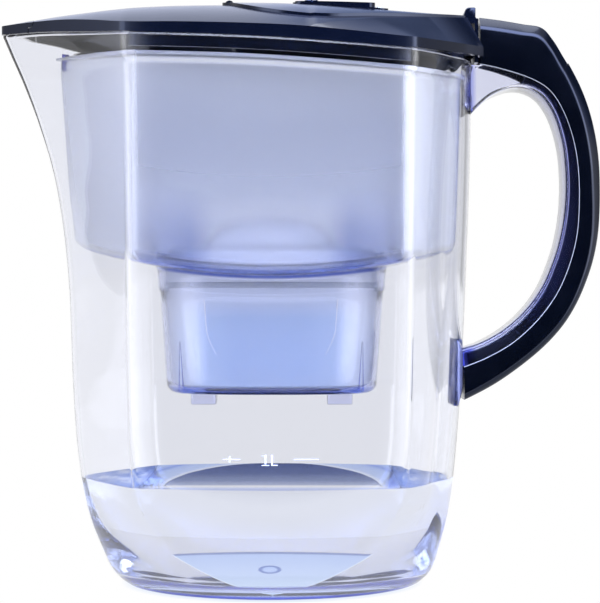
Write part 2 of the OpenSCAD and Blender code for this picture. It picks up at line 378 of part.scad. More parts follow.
// Inner skirt of the lid, which drops inside the jug rim
SKIRT = [[200, 95.2, 58.4, 57.1, 11, 85.6, 28.6, 10, 6, 6, 1.5], [240, 95.2, 58.4, 57.1, 11, 85.6, 28.6, 10, 6, 6, 1.5]];
function skirt_ring(d, z) = [for (p = plan_ring(SKIRT, 220, d)) [p[0], p[1], z < 100 ? rim(p[0]) + z : z]];
module lid_shell() {
    color([0.05, 0.08, 0.2]) difference() {
        as_mesh() union() {
            difference() {
                union() {
                    difference() {
                        lid_body(0, 0, 0.3);
                        lid_body(lid_wall, lid_wall, -8);
                    }
                    translate([0, 13.9, 0]) rotate([90, 0, 0]) linear_extrude(27.8) spine_profile();
                    intersection() {
                        lid_body(0.8, 0.8, -8);
                        union() {
                            // skirt along the front and the back, open at the corner facets
                            difference() {
                                band([skirt_ring(0, -5.1), skirt_ring(0, 262), skirt_ring(1.6, 262), skirt_ring(1.6, -5.1)]);
                                for (s = [-1, 1]) translate([s * 109.4 - 50, -100, 200]) cube([100, 200, 80]);
                            }
                            // wall round the fill opening
                            difference() { flap_prism(-3.4, 240, 270); flap_prism(-5, 230, 280); }
                            // hinge pocket of the fill flap
                            translate([-24.6, -27, 250.4]) cube([12.1, 54, 10]);
                        }
                    }
                }
                // notch for the handle
                translate([91.6, -14, 225]) cube([10, 28, 40]);
                // seat of the fill flap, and the fill opening inside it
                difference() { flap_prism(flap_gap, 236, 270); translate([0, 0, -1.3]) lid_body(0, 0, -14); translate([86.2, -30, 230]) cube([20, 60, 50]); }
                translate([84, -10.2, 249.6]) cube([20, 20.4, 10]);
                difference() { flap_prism(-5, 230, 270); translate([-25, -30, 230]) cube([12.5, 60, 50]); }
                along_y(hx, hz, 3.9, -25.5, 25.5);
                // place of the spout flap
                translate([-135, -40, 225]) cube([135 + sx, 80, 50]);
                along_y(sx, sz, 2.65, -30, 30);
            }
            for (s = [-1, 1]) {
                hull() { along_y(hx, hz, 2.1, s * 14.4 - 1.8, s * 14.4 + 1.8, 32); translate([hx - 3, s * 14.4 - 1.8, 251]) cube([6, 3.6, 1]); }
                hull() { along_y(sx, sz, 2.1, s * 10.9 - 1.5, s * 10.9 + 1.5, 32); translate([sx + 3.6, s * 10.9 - 1.5, 247]) cube([1, 3, 2.6]); }
            }
        }
        // pin bores
        along_y(hx, hz, 1.02, -20, 20);
        along_y(sx, sz, 0.82, -14, 14);
    }
}
module spout_flap() {
    color([0.05, 0.08, 0.2]) difference() {
        as_mesh() intersection() {
            lid_body(0, 0, 0.3);
            difference() {
                union() {
                    difference() { translate([-135, -40, 225]) cube([135 + sx - 0.4, 80, 50]); lid_body(2, 2, -8); }
                    along_y(sx, sz, 2.3, -30, 30);
                }
                for (s = [-1, 1]) along_y(sx, sz, 2.6, s * 10.9 - 1.85, s * 10.9 + 1.85);
                // the lower front edge stays clear of the skirt
                translate([sx + 0.2, -40, 225]) cube([20, 80, sz - 225 - 2.0]);
            }
        }
        along_y(sx, sz, 0.87, -14, 14);
    }
}
module spout_flap_pin() { color([0.75, 0.76, 0.78]) along_y(sx, sz, 0.8, -12.3, 12.3); }
module flap_top(h) { translate([0, 0, h]) lid_body(0, 0, -14); }
module fill_flap() {
    color([0.04, 0.07, 0.18]) difference() {
        as_mesh() difference() {
            union() {
                difference() {
                    intersection() { flap_prism(0, 230, 280); flap_top(flap_proud); translate([-40, -80, 200]) cube([126, 160, 100]); }
                    flap_top(-1.0);
                }
                // knuckle
                intersection() { along_y(hx, hz, 2.0, -12.3, 12.3, 36); flap_top(flap_proud + 0.4); }
                // thumb tab
                translate([84.4, -9.6, 250.1]) cube([6.7, 19.2, 1.9]);
                hull() {
                    translate([89.2, -7.5, 251]) cube([1.9, 15, 5.9]);
                    along_y(88.2, 254.9, 2.0, -7.5, 7.5, 24);
                    translate([84.6, -8.5, 250.8]) cube([6.4, 17, 1]);
                }
            }
            // hinge ears of the lid
            for (s = [-1, 1]) translate([hx - 6, s * 14.4 - 2.15, 240]) cube([8.8, 4.3, 30]);
            // hole for the indicator
            slab(14, 50, 18, 240, 270);
        }
        along_y(hx, hz, 1.07, -20, 20);
    }
}
module fill_flap_pin() { color([0.75, 0.76, 0.78]) along_y(hx, hz, 1.0, -16, 16); }
// Crown of the indicator, moved down by d
module crown(d) { translate([10, 0, 256.6 - d]) rotate([0, -2.5, 0]) translate([-10, 0, -256.6]) translate([0, 0, 2.5]) lid_body(0, 0, -14); }
module indicator_housing() {
    color([0.08, 0.12, 0.26]) as_mesh() difference() {
        union() {
            difference() {
                union() {
                    intersection() { slab(10.4, 45.8, 20, 240, 270, 4); crown(0); }
                    intersection() { slab(9.4, 51.6, 21.5, 240, 270, 5); flap_top(flap_proud + 0.7); }
                }
                flap_top(flap_proud + 0.04);
            }
            intersection() { slab(14.4, 49.6, 17.6, 246.6, 262, 3); flap_top(flap_proud + 0.5); }
        }
        intersection() { slab(15.8, 44.4, 16.2, 240, 270, 2); crown(1.4); }
        intersection() { slab(15.8, 48.2, 16.2, 240, 270, 2); flap_top(0.2); }
        slab(23, 40, 11, 250, 270, 1.5);
        translate([17.6, -9.4, 250]) cylinder(r = 3.3, h = 20, $fn = 48);
        translate([46.7, -15.7, 250]) cube([2.4, 7.4, 20]);
    }
}
module display_window() { color([0.5, 0.55, 0.6, 0.6]) as_mesh() intersection() { slab(23.12, 39.88, 10.88, 250, 270, 1.4); difference() { crown(0.1); crown(1.3); } } }
module indicator_lens() {
    color([0.4, 0.7, 0.95, 0.7]) {
        translate([17.6, -9.4, 256.9]) cylinder(r = 3.15, h = 2.2, $fn = 48);
        translate([17.6, -9.4, 259.1]) scale([1, 1, 0.4]) difference() { sphere(r = 3.15, $fn = 48); translate([-5, -5, -10]) cube([10, 10, 10]); }
    }
}
module lcd_panel() { color([0.55, 0.6, 0.55]) translate([22, -12.5, 253.7]) cube([19, 25, 1.9]); }
module circuit_board() { color([0.05, 0.3, 0.15]) translate([16.4, -15.6, 251.6]) cube([27.6, 31.2, 1.6]); }
module status_led() { color([0.9, 0.9, 0.95]) union() { translate([17.6, -9.4, 253.3]) cylinder(r = 1.5, h = 1.5, $fn = 32); translate([17.6, -9.4, 254.8]) intersection() { sphere(r = 1.5, $fn = 32); translate([-2, -2, 0]) cube([4, 4, 2]); } } }
module coin_cell() { color([0.7, 0.71, 0.73]) union() { translate([30, 0, 248.4]) cylinder(r = 10, h = 2.6, $fn = 64); translate([30, 0, 251]) cylinder(r = 8.7, h = 0.45, $fn = 64); } }
module module_cover() { color([0.07, 0.1, 0.22]) difference() { slab(15.92, 48.08, 16.08, 246.7, 248.1, 1.9); for (s = [-1, 1]) translate([46, s * 13.6, 240]) cylinder(r = 1.1, h = 20, $fn = 32); } }
module module_screws() { color([0.7, 0.71, 0.73]) for (s = [-1, 1]) translate([46, s * 13.6, 0]) { translate([0, 0, 246.75]) cylinder(r = 0.95, h = 4.2, $fn = 24); translate([0, 0, 245.5]) cylinder(r = 1.9, h = 1.15, $fn = 24); } }
module reset_button() { color([0.7, 0.75, 0.85]) union() { translate([47, -15.4, 253.2]) cube([1.8, 6.8, 3.2]); translate([45.2, -15.7, 252.6]) cube([2.7, 7.4, 0.8]); } }

jug_body();
handle_cap();
handle_cover();
handle_insert();
hopper();
cartridge_shell();
cartridge_cap();
cartridge_seal();
inlet_mesh();
carbon_bed();
resin_bed();
outlet_mesh();
lid_shell();
spout_flap();
spout_flap_pin();
fill_flap();
fill_flap_pin();
indicator_housing();
display_window();
indicator_lens();
lcd_panel();
circuit_board();
status_led();
coin_cell();
module_cover();
module_screws();
reset_button();
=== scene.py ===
import math

import bmesh
import bpy
import numpy as np
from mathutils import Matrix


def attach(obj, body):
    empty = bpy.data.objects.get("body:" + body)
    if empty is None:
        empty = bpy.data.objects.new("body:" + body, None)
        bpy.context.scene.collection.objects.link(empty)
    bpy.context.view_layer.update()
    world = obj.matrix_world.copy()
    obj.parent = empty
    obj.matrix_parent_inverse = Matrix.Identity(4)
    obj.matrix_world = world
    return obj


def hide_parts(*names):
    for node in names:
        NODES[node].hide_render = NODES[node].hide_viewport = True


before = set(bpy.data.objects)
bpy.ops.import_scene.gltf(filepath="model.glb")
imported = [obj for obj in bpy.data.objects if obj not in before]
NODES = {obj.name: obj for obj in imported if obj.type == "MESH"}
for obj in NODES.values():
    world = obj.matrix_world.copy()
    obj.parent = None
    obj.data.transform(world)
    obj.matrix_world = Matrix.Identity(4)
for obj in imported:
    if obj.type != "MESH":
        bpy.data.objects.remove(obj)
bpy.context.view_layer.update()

# ---------------------------------------------------------------- outlines
def slope(T, k, c):
    a, b = max(k - 1, 0), min(k + 1, len(T) - 1)
    return (T[b][c] - T[a][c]) / (T[b][0] - T[a][0])


def lk(T, t, c):
    t = min(max(t, T[0][0]), T[-1][0])
    k = 0
    while k < len(T) - 2 and t >= T[k + 1][0]:
        k += 1
    h = T[k + 1][0] - T[k][0]
    u = (t - T[k][0]) / h
    m0, m1 = slope(T, k, c) * h, slope(T, k + 1, c) * h
    return (2 * u ** 3 - 3 * u * u + 1) * T[k][c] + (u ** 3 - 2 * u * u + u) * m0 + (3 * u * u - 2 * u ** 3) * T[k + 1][c] + (u ** 3 - u * u) * m1


def unit(v):
    return v / np.linalg.norm(v)


def inset(V, d):
    n = len(V)
    out = []
    for i in range(n):
        a, b = unit(V[i] - V[i - 1]), unit(V[(i + 1) % n] - V[i])
        p, q = np.array([-a[1], a[0]]), np.array([-b[1], b[0]])
        out.append(V[i] + (p + q) * d / (1 + p @ q))
    return np.array(out)


def bowed(P, Q, B, u):
    d = unit(Q - P)
    return P + (Q - P) * u + np.array([d[1], -d[0]]) * B * 4 * u * (1 - u)


def outline(V, C, B, K, M):
    n = len(V)
    out = []
    for i in range(n):
        h, j = (i - 1) % n, (i + 1) % n
        lh, li = np.linalg.norm(V[i] - V[h]), np.linalg.norm(V[j] - V[i])
        p0, p2 = bowed(V[h], V[i], B[h], 1 - C[i] / lh), bowed(V[i], V[j], B[i], C[i] / li)
        for k in range(K[i] + 1):
            t = k / K[i]
            out.append(p0 * (1 - t) ** 2 + V[i] * 2 * t * (1 - t) + p2 * t * t)
        s, e = C[i] / li, 1 - C[j] / li
        for m in range(1, M[i] + 1):
            out.append(bowed(V[i], V[j], B[i], s + (e - s) * m / (M[i] + 1)))
    return np.array(out)


RIM = [[-124, 245.5], [-121.6, 245.1], [-101, 243.3], [-87, 241.5], [-74, 239.9], [-62, 238.6], [-40, 237.1], [-20, 236.0], [0, 234.9], [20, 233.7], [40, 232.6], [61, 231.7], [76, 232.3], [88, 233.2], [96, 233.6]]
JUG = [[0, 64.0, 29, 51.0, 6.5, 64.5, 30, 12, 9, 6, 4],
       [1.2, 66.2, 30, 52.2, 6.8, 67.0, 30, 12, 9, 6, 4],
       [3.5, 69.4, 31, 53.2, 7.2, 69.8, 30, 12, 9, 6, 4],
       [7, 72.3, 33, 54.2, 7.8, 72.2, 30, 12, 9, 6, 3.8],
       [12, 74.9, 36, 55.0, 8.6, 74.1, 29.5, 11.5, 9, 6, 3.4],
       [18, 77.6, 41, 55.6, 9.6, 75.8, 29.5, 11.2, 9, 6, 3],
       [27, 81.2, 48.6, 56.3, 10.4, 78.2, 29, 11, 9, 6, 2.6],
       [36, 83.7, 54.0, 57.0, 10.8, 80.0, 29, 10.8, 8.5, 6, 2.3],
       [46, 85.7, 57.0, 57.6, 11, 81.4, 29, 10.6, 8, 6, 2],
       [60, 87.6, 58.6, 58.2, 11, 82.8, 29, 10.4, 8, 6, 1.8],
       [80, 89.2, 59.3, 58.8, 11, 84.4, 29, 10.4, 7.5, 6, 1.6],
       [105, 90.3, 59.8, 59.0, 11, 85.8, 29, 10.4, 7, 6, 1.5],
       [128, 91.1, 60.2, 59.1, 11, 86.8, 29, 10.4, 6.5, 6, 1.5],
       [150, 93.0, 60.4, 59.2, 11, 87.7, 29, 10.4, 6, 6, 1.5],
       [165, 95.2, 60.5, 59.3, 11, 88.3, 29, 10.4, 5.5, 6, 1.5],
       [182, 99.0, 60.6, 59.4, 11, 88.8, 29, 10.2, 5, 6, 1.5],
       [200, 105.4, 60.7, 59.5, 11, 89.2, 29, 10, 4.5, 6, 1.4],
       [214, 111.6, 60.8, 59.6, 11, 89.3, 29, 10, 4, 6, 1.3],
       [221, 115.2, 61.0, 59.8, 11, 89.3, 29, 10, 4, 6, 1.2],
       [224.2, 116.9, 61.8, 60.7, 11, 89.7, 29.2, 10, 4, 6, 1.2],
       [233, 121.4, 62.0, 60.8, 11, 89.7, 29.3, 10, 4, 6, 1.2]]
HOP = [[130, 86.6, 56.6, 55.4, 10.4, 81.6, 28, 10, 8, 6, 1.6],
       [150, 88.0, 57.1, 55.8, 10.7, 82.3, 28.2, 10, 7.5, 6, 1.5],
       [182, 90.9, 57.4, 56.1, 10.9, 83.3, 28.4, 10, 7, 6, 1.5],
       [210, 93.3, 57.6, 56.3, 10.9, 84.2, 28.5, 10, 6.5, 6, 1.5],
       [226, 94.7, 57.8, 56.5, 10.9, 84.8, 28.6, 10, 6, 6, 1.5],
       [240, 95.6, 58.0, 56.7, 10.9, 85.2, 28.7, 10, 6, 6, 1.5]]
FLANGE = [[200, 96.6, 59.2, 57.9, 11, 86.9, 28.8, 10, 6, 6, 1.5], [240, 96.6, 59.2, 57.9, 11, 86.9, 28.8, 10, 6, 6, 1.5]]
SKIRT = [[200, 95.2, 58.4, 57.1, 11, 85.6, 28.6, 10, 6, 6, 1.5], [240, 95.2, 58.4, 57.1, 11, 85.6, 28.6, 10, 6, 6, 1.5]]
HAND = [[0, 87.6, 207.9, 87.6, 230.8, 87.6, 252.6, 0],
        [1, 92.0, 212.4, 92.4, 230.6, 92.6, 252.1, 0],
        [2, 96.6, 216.4, 98.6, 229.4, 102.0, 250.9, 3],
        [3, 101.8, 219.1, 105.0, 227.7, 112.0, 249.2, 3],
        [4, 107.6, 220.7, 111.6, 225.6, 120.4, 247.6, 3],
        [5, 113.6, 220.1, 117.2, 223.2, 125.6, 242.0, 3],
        [6, 118.6, 217.6, 122.0, 220.2, 130.0, 234.8, 3],
        [7, 122.2, 213.7, 125.8, 216.0, 134.0, 228.0, 3],
        [8, 125.2, 208.4, 129.0, 210.4, 138.2, 219.2, 3],
        [9, 127.5, 202.0, 131.8, 203.6, 141.6, 209.4, 3],
        [10, 129.4, 194.1, 134.2, 195.2, 144.0, 198.8, 3],
        [11, 130.4, 185.3, 135.7, 186.0, 145.4, 187.8, 3],
        [12, 130.7, 176.1, 136.3, 176.2, 145.8, 176.6, 3],
        [13, 130.2, 166.8, 136.2, 166.4, 145.6, 165.4, 3],
        [14, 129.0, 158.0, 135.5, 156.6, 144.7, 154.6, 3],
        [15, 127.0, 149.3, 133.6, 147.2, 142.7, 144.4, 3],
        [16, 124.2, 141.1, 130.6, 138.0, 139.5, 134.6, 3],
        [17, 120.6, 132.8, 126.4, 129.0, 135.2, 124.8, 3],
        [18, 115.5, 125.0, 120.6, 120.6, 129.4, 115.4, 3],
        [19, 108.9, 117.8, 113.4, 112.8, 121.6, 106.6, 3],
        [20, 101.1, 111.7, 105.0, 106.0, 111.8, 98.2, 3],
        [21, 92.3, 107.0, 95.2, 100.6, 99.6, 89.6, 3],
        [22, 85.4, 104.8, 86.4, 97.0, 87.0, 82.8, 3],
        [23, 82.6, 103.8, 82.8, 96.0, 82.8, 81.6, 0]]
LID_EDGE = [[-122, 249.2], [-113, 248.9], [-105, 248.5], [-96, 247.9], [-87, 247.0], [-74, 245.0], [-62, 242.9], [-40, 241.9], [-8, 240.6], [12, 239.7], [38, 237.8], [60, 236.4], [76, 236.9], [94, 237.9]]
LID_SPINE = [[16, 239.6], [25, 242.0], [37, 244.6], [45, 246.1], [65, 248.7], [86.6, 251.2]]
LID_TOP = [[-122, 249.2], [-118, 249.7], [-113.5, 250.3], [-104, 251.4], [-95, 252.6], [-86, 253.6], [-77, 254.6], [-68, 255.5], [-59, 256.2], [-50, 256.6], [-40, 256.9], [-30, 257.0], [-10, 257.0], [10, 256.6], [30, 255.5], [50, 254.1], [62, 253.3], [75, 252.4], [86.6, 251.6]]
FLAP_HALF = [[-21.8, 0], [-21.7, -12], [-21.3, -21], [-17.6, -27.5], [-12.6, -38], [-5, -47], [4, -52.6], [14, -55], [24, -54], [34, -49], [44, -42.8], [54, -36.2], [64, -29], [74, -21.4], [82, -14.8], [87.5, -10.4], [91.2, -9.6], [91.2, 0]]

WALL = 2.3
LOW = 136.5
FLOOR_Z = 3.6
CUT = 1.8
KS = [7, 5, 5, 6, 6, 5, 5]
MS = [9, 26, 6, 16, 6, 26, 9]
SX, SZ = -107.2, 248.7
HX, HZ = -18.6, 256.4


def rim(x):
    return lk(RIM, x, 1)


def lean(z, x):
    return z + min(max((z - 150) / 83, 0), 1.2) * (rim(x) - 233)


def plan_ring(T, z, d, g=0.0):
    xl, xc, yc, bf, xb, yr, br, cn, cr, bl = (lk(T, z, c) for c in range(1, 11))
    a = math.atan2(yc, xl - xc) + math.atan(4 * bl / math.hypot(xl - xc, yc))
    xv = xl + 0.5 * cn * math.cos(a)
    V = inset(np.array([[-xv, 0], [-xc, -yc], [xc, -yc], [xb - br, -yr], [xb - br, yr], [xc, yc], [-xc, yc]], float), d)
    cc = max(CUT - d * 0.15, 0.7) + g
    return outline(V, [max(cn - d * 0.3, 1.5), cc, cc, cr, cr, cc, cc], [bl, bf, 1.5, br, 1.5, bf, bl], KS, MS)


BASE_REF = plan_ring(JUG, 0, 0)


def jug_ring(z, d):
    P = plan_ring(JUG, z, d)
    m = 0 if z > 44 else (1 - z / 44) ** 1.7
    xl, xb, yb = lk(JUG, z, 1) - d, lk(JUG, z, 5) - d, lk(JUG, z, 3) + lk(JUG, z, 4) - d
    out = []
    for p, q in zip(P, BASE_REF):
        t = math.atan2(q[1] / 57.5, q[0] / (64.0 if q[0] < 0 else 64.5))
        x = p[0] * (1 - m) + (xl if q[0] < 0 else xb) * math.cos(t) * m
        y = p[1] * (1 - m) + yb * math.sin(t) * m
        out.append([x, y, lean(z, x)])
    return np.array(out)


def jug_inset(z):
    return WALL if z >= 46 else WALL + 3.6 * (1 - z / 46) ** 5 + 0.9 * (1 - z / 46)


def sag(x):
    return LOW + 0.00178 * x * x


def hop_ring(z, d):
    out = []
    for p in plan_ring(HOP, z, d):
        zz = z if z <= 150 else lean(z, p[0])
        out.append([p[0], p[1], zz + (sag(p[0]) - LOW) * min(max((170 - z) / (170 - LOW), 0), 1)])
    return np.array(out)


HOP_REF = plan_ring(HOP, 150, 0)


def super_pt(a, b, t, p=2.8):
    r = ((abs(math.cos(t)) / a) ** p + (abs(math.sin(t)) / b) ** p) ** (-1 / p)
    return r * math.cos(t), r * math.sin(t)


def oval_ring(a, b, z, dip=0.0):
    out = []
    for q in HOP_REF:
        x, y = super_pt(a, b, math.atan2(q[1] / 67, q[0] / 85))
        out.append([x, y, z + dip * (sag(x) - LOW)])
    return np.array(out)


# ---------------------------------------------------------------- mesh making
def build(name, verts, faces, angle=None):
    me = bpy.data.meshes.new(name)
    me.from_pydata([tuple(float(c) * 0.001 for c in v) for v in verts], [], [tuple(f) for f in faces])
    bm = bmesh.new()
    bm.from_mesh(me)
    bmesh.ops.remove_doubles(bm, verts=bm.verts, dist=1e-6)
    bmesh.ops.dissolve_degenerate(bm, edges=bm.edges, dist=1e-7)
    bmesh.ops.recalc_face_normals(bm, faces=bm.faces)
    bm.to_mesh(me)
    bm.free()
    ob = bpy.data.objects.new(name, me)
    bpy.context.scene.collection.objects.link(ob)
    shade(ob, angle)
    return ob


def shade(ob, angle=None):
    me = ob.data
    me.shade_smooth()
    if angle:
        me.set_sharp_from_angle(angle=math.radians(angle))


def rings_mesh(R, closed_hoop=False, cap=True):
    n, m = len(R[0]), len(R)
    verts = np.concatenate(R)
    faces = []
    for k in range(m if closed_hoop else m - 1):
        l = (k + 1) % m
        for i in range(n):
            j = (i + 1) % n
            faces.append((k * n + i, k * n + j, l * n + j, l * n + i))
    if not closed_hoop and cap:
        verts = np.vstack([verts, R[0].mean(0), R[-1].mean(0)])
        a, b = n * m, n * m + 1
        for i in range(n):
            j = (i + 1) % n
            faces.append((a, j, i))
            faces.append((b, (m - 1) * n + i, (m - 1) * n + j))
    return verts, faces


def loft(name, R, angle=None, hoop=False):
    v, f = rings_mesh([np.asarray(r, float) for r in R], hoop)
    return build(name, v, f, angle)


def prism(name, poly, z0, z1, angle=30):
    P = np.asarray(poly, float)
    n = len(P)
    v = np.vstack([np.c_[P, np.full(n, z0)], np.c_[P, np.full(n, z1)]])
    f = [tuple(range(n - 1, -1, -1)), tuple(range(n, 2 * n))]
    f += [(i, (i + 1) % n, n + (i + 1) % n, n + i) for i in range(n)]
    return build(name, v, f, angle)


def box(name, x0, x1, y0, y1, z0, z1):
    return prism(name, [[x0, y0], [x1, y0], [x1, y1], [x0, y1]], z0, z1)


def rod_y(name, x, z, r, y0, y1, n=96):
    a = np.linspace(0, 2 * math.pi, n, endpoint=False)
    c = np.c_[x + r * np.cos(a), np.zeros(n), z + r * np.sin(a)]
    lo, hi = c.copy(), c.copy()
    lo[:, 1], hi[:, 1] = y0, y1
    v = np.vstack([lo, hi])
    f = [tuple(range(n)), tuple(range(2 * n - 1, n - 1, -1))] + [(i, n + i, n + (i + 1) % n, (i + 1) % n) for i in range(n)]
    return build(name, v, f, 30)


def slab_poly(x0, x1, hy, r, k=8):
    out = []
    for cx, cy, a0 in ((x1 - r, hy - r, 0), (x0 + r, hy - r, 90), (x0 + r, -hy + r, 180), (x1 - r, -hy + r, 270)):
        for i in range(k + 1):
            a = math.radians(a0 + 90 * i / k)
            out.append([cx + r * math.cos(a), cy + r * math.sin(a)])
    return out


def csg(base, *steps, angle=28):
    """base cut or joined by the others in turn; the helpers are removed"""
    for op, other in steps:
        m = base.modifiers.new("b", "BOOLEAN")
        m.operation = op
        m.solver = "MANIFOLD"
        m.object = other
        dg = bpy.context.evaluated_depsgraph_get()
        me = bpy.data.meshes.new_from_object(base.evaluated_get(dg))
        base.modifiers.clear()
        old = base.data
        base.data = me
        bpy.data.meshes.remove(old)
        om = other.data
        bpy.data.objects.remove(other)
        bpy.data.meshes.remove(om)
    shade(base, angle)
    return base


def rounded(P, R, k):
    """closed polygon in space with each corner rounded"""
    n = len(P)
    out = []
    for i in range(n):
        V, A, B = P[i], P[i - 1], P[(i + 1) % n]
        if R[i] <= 0:
            out.append(V)
            continue
        la, lb = np.linalg.norm(A - V), np.linalg.norm(B - V)
        r = min(R[i], la * 0.45, lb * 0.45)
        p0, p2 = V + (A - V) * r / la, V + (B - V) * r / lb
        for j in range(k + 1):
            t = j / k
            out.append(p0 * (1 - t) ** 2 + V * 2 * t * (1 - t) + p2 * t * t)
    return np.array(out)


# ---------------------------------------------------------------- materials
def mat(name):
    m = bpy.data.materials.new(name)
    m.use_nodes = True
    nt = m.node_tree
    nt.nodes.clear()
    out = nt.nodes.new("ShaderNodeOutputMaterial")
    return m, nt, out


def texco(nt, scale=(1, 1, 1)):
    tc = nt.nodes.new("ShaderNodeTexCoord")
    mp = nt.nodes.new("ShaderNodeMapping")
    mp.inputs["Scale"].default_value = scale
    nt.links.new(tc.outputs["Object"], mp.inputs["Vector"])
    return mp.outputs["Vector"]


def noise(nt, vec, scale, detail=3.0, rough=0.55):
    n = nt.nodes.new("ShaderNodeTexNoise")
    n.inputs["Scale"].default_value = scale
    n.inputs["Detail"].default_value = detail
    n.inputs["Roughness"].default_value = rough
    nt.links.new(vec, n.inputs["Vector"])
    return n.outputs["Fac"]


def ramp(nt, fac, stops):
    r = nt.nodes.new("ShaderNodeValToRGB")
    e = r.color_ramp.elements
    e[0].position, e[0].color = stops[0][0], (*stops[0][1], 1)
    e[1].position, e[1].color = stops[-1][0], (*stops[-1][1], 1)
    for p, c in stops[1:-1]:
        x = e.new(p)
        x.color = (*c, 1)
    nt.links.new(fac, r.inputs["Fac"])
    return r.outputs["Color"]


def span(nt, fac, a, b, lo=0.0, hi=1.0):
    r = nt.nodes.new("ShaderNodeMapRange")
    for i, v in enumerate((lo, hi, a, b)):
        r.inputs[i + 1].default_value = v
    nt.links.new(fac, r.inputs[0])
    return r.outputs[0]


def bump(nt, h, strength, dist=0.0002):
    b = nt.nodes.new("ShaderNodeBump")
    b.inputs["Strength"].default_value = strength
    b.inputs["Distance"].default_value = dist
    nt.links.new(h, b.inputs["Height"])
    return b.outputs["Normal"]


def principled(nt, **kw):
    p = nt.nodes.new("ShaderNodeBsdfPrincipled")
    for k, v in kw.items():
        p.inputs[k.replace("_", " ")].default_value = v
    return p


def clear_plastic(name, tint, density, ior=1.49, rough=0.012, base=(1, 1, 1), micro=0.05):
    m, nt, out = mat(name)
    vec = texco(nt)
    p = principled(nt, Base_Color=(*base, 1), IOR=ior)
    p.inputs["Transmission Weight"].default_value = 1.0
    nt.links.new(span(nt, noise(nt, vec, 60, 4), rough * 0.6, rough * 1.8), p.inputs["Roughness"])
    nt.links.new(bump(nt, noise(nt, texco(nt, (1, 1, 0.35)), 34, 2), micro, 0.0003), p.inputs["Normal"])
    nt.links.new(p.outputs[0], out.inputs["Surface"])
    v = nt.nodes.new("ShaderNodeVolumeAbsorption")
    v.inputs["Color"].default_value = (*tint, 1)
    v.inputs["Density"].default_value = density
    nt.links.new(v.outputs[0], out.inputs["Volume"])
    return m


def dark_plastic(name, a, b, r0=0.16, r1=0.28, coat=0.25, micro=0.12, spec=0.5):
    m, nt, out = mat(name)
    vec = texco(nt)
    p = principled(nt, IOR=1.5)
    p.inputs["Coat Weight"].default_value = coat
    p.inputs["Coat Roughness"].default_value = 0.08
    p.inputs["Specular IOR Level"].default_value = spec
    # The blue specular tint paints the reflections on these dark plastics blue, standing in for bluish studio light.
    p.inputs["Specular Tint"].default_value = (0.55, 0.65, 1.0, 1)
    nt.links.new(ramp(nt, noise(nt, vec, 22, 4), [(0.3, a), (0.7, b)]), p.inputs["Base Color"])
    nt.links.new(span(nt, noise(nt, vec, 90, 3), r0, r1, 0.3, 0.7), p.inputs["Roughness"])
    nt.links.new(bump(nt, noise(nt, vec, 900, 2), micro, 0.00004), p.inputs["Normal"])
    nt.links.new(p.outputs[0], out.inputs["Surface"])
    return m


def grainy(name, a, b, scale, rough=0.6, metal=0.0, strength=0.4, dist=0.0003, voronoi=False):
    m, nt, out = mat(name)
    vec = texco(nt)
    p = principled(nt, Roughness=rough, Metallic=metal)
    if voronoi:
        v = nt.nodes.new("ShaderNodeTexVoronoi")
        v.inputs["Scale"].default_value = scale
        nt.links.new(vec, v.inputs["Vector"])
        f = v.outputs["Distance"]
    else:
        f = noise(nt, vec, scale, 5)
    nt.links.new(ramp(nt, f, [(0.25, a), (0.7, b)]), p.inputs["Base Color"])
    nt.links.new(bump(nt, f, strength, dist), p.inputs["Normal"])
    nt.links.new(p.outputs[0], out.inputs["Surface"])
    return m


def math_node(nt, op, *vals):
    n = nt.nodes.new("ShaderNodeMath")
    n.operation = op
    for i, v in enumerate(vals):
        if hasattr(v, "is_linked"):
            nt.links.new(v, n.inputs[i])
        else:
            n.inputs[i].default_value = v
    return n.outputs[0]


def blend_rgb(nt, fac, a, b, mode="MIX"):
    n = nt.nodes.new("ShaderNodeMix")
    n.data_type = "RGBA"
    n.blend_type = mode
    for k, v in ((0, fac), (6, a), (7, b)):
        if hasattr(v, "is_linked"):
            nt.links.new(v, n.inputs[k])
        else:
            n.inputs[k].default_value = v if k == 0 else (*v, 1)
    return n.outputs[2]


M = {}
M["jug"] = clear_plastic("clear_jug", (0.1, 0.26, 0.95), 11.0, rough=0.004, micro=0.02)
nt = M["jug"].node_tree
p = next(n for n in nt.nodes if n.type == "BSDF_PRINCIPLED")
sx = nt.nodes.new("ShaderNodeSeparateXYZ")
nt.links.new(texco(nt), sx.inputs[0])
rim_r = math_node(nt, "SQRT", math_node(nt, "ADD", math_node(nt, "POWER", math_node(nt, "DIVIDE", sx.outputs[0], 0.0645), 2.0), math_node(nt, "POWER", math_node(nt, "DIVIDE", sx.outputs[1], 0.0575), 2.0)))
# Painted contact shade: near the rim of the base, the bottom 1.3 mm of the wall is painted deep blue and made much less
# clear. Above that it is near-white and slightly less clear, and fully clear from 30 mm up.
foot_shade_colour = ramp(nt, span(nt, sx.outputs[2], 0.0, 1.0, 0.0, 0.01), [(0.0, (0.06, 0.08, 0.55)), (0.13, (0.1, 0.13, 0.62)), (0.22, (0.86, 0.89, 0.98)), (0.6, (0.94, 0.945, 0.97))])
nt.links.new(blend_rgb(nt, span(nt, rim_r, 0.0, 1.0, 0.9, 0.96), (0.9, 0.92, 0.98), foot_shade_colour), p.inputs["Base Color"])
foot_shade_clearness = ramp(nt, span(nt, sx.outputs[2], 0.0, 1.0, 0.0, 0.03), [(0.0, (0.3, 0.3, 0.3)), (0.045, (0.4, 0.4, 0.4)), (0.07, (0.86, 0.86, 0.86)), (0.3, (0.92, 0.92, 0.92)), (1.0, (1.0, 1.0, 1.0))])
nt.links.new(blend_rgb(nt, span(nt, rim_r, 0.0, 1.0, 0.9, 0.96), (1.0, 1.0, 1.0), foot_shade_clearness), p.inputs["Transmission Weight"])
M["channel"] = clear_plastic("clear_channel", (0.12, 0.2, 0.9), 46.0, rough=0.05, micro=0.03)
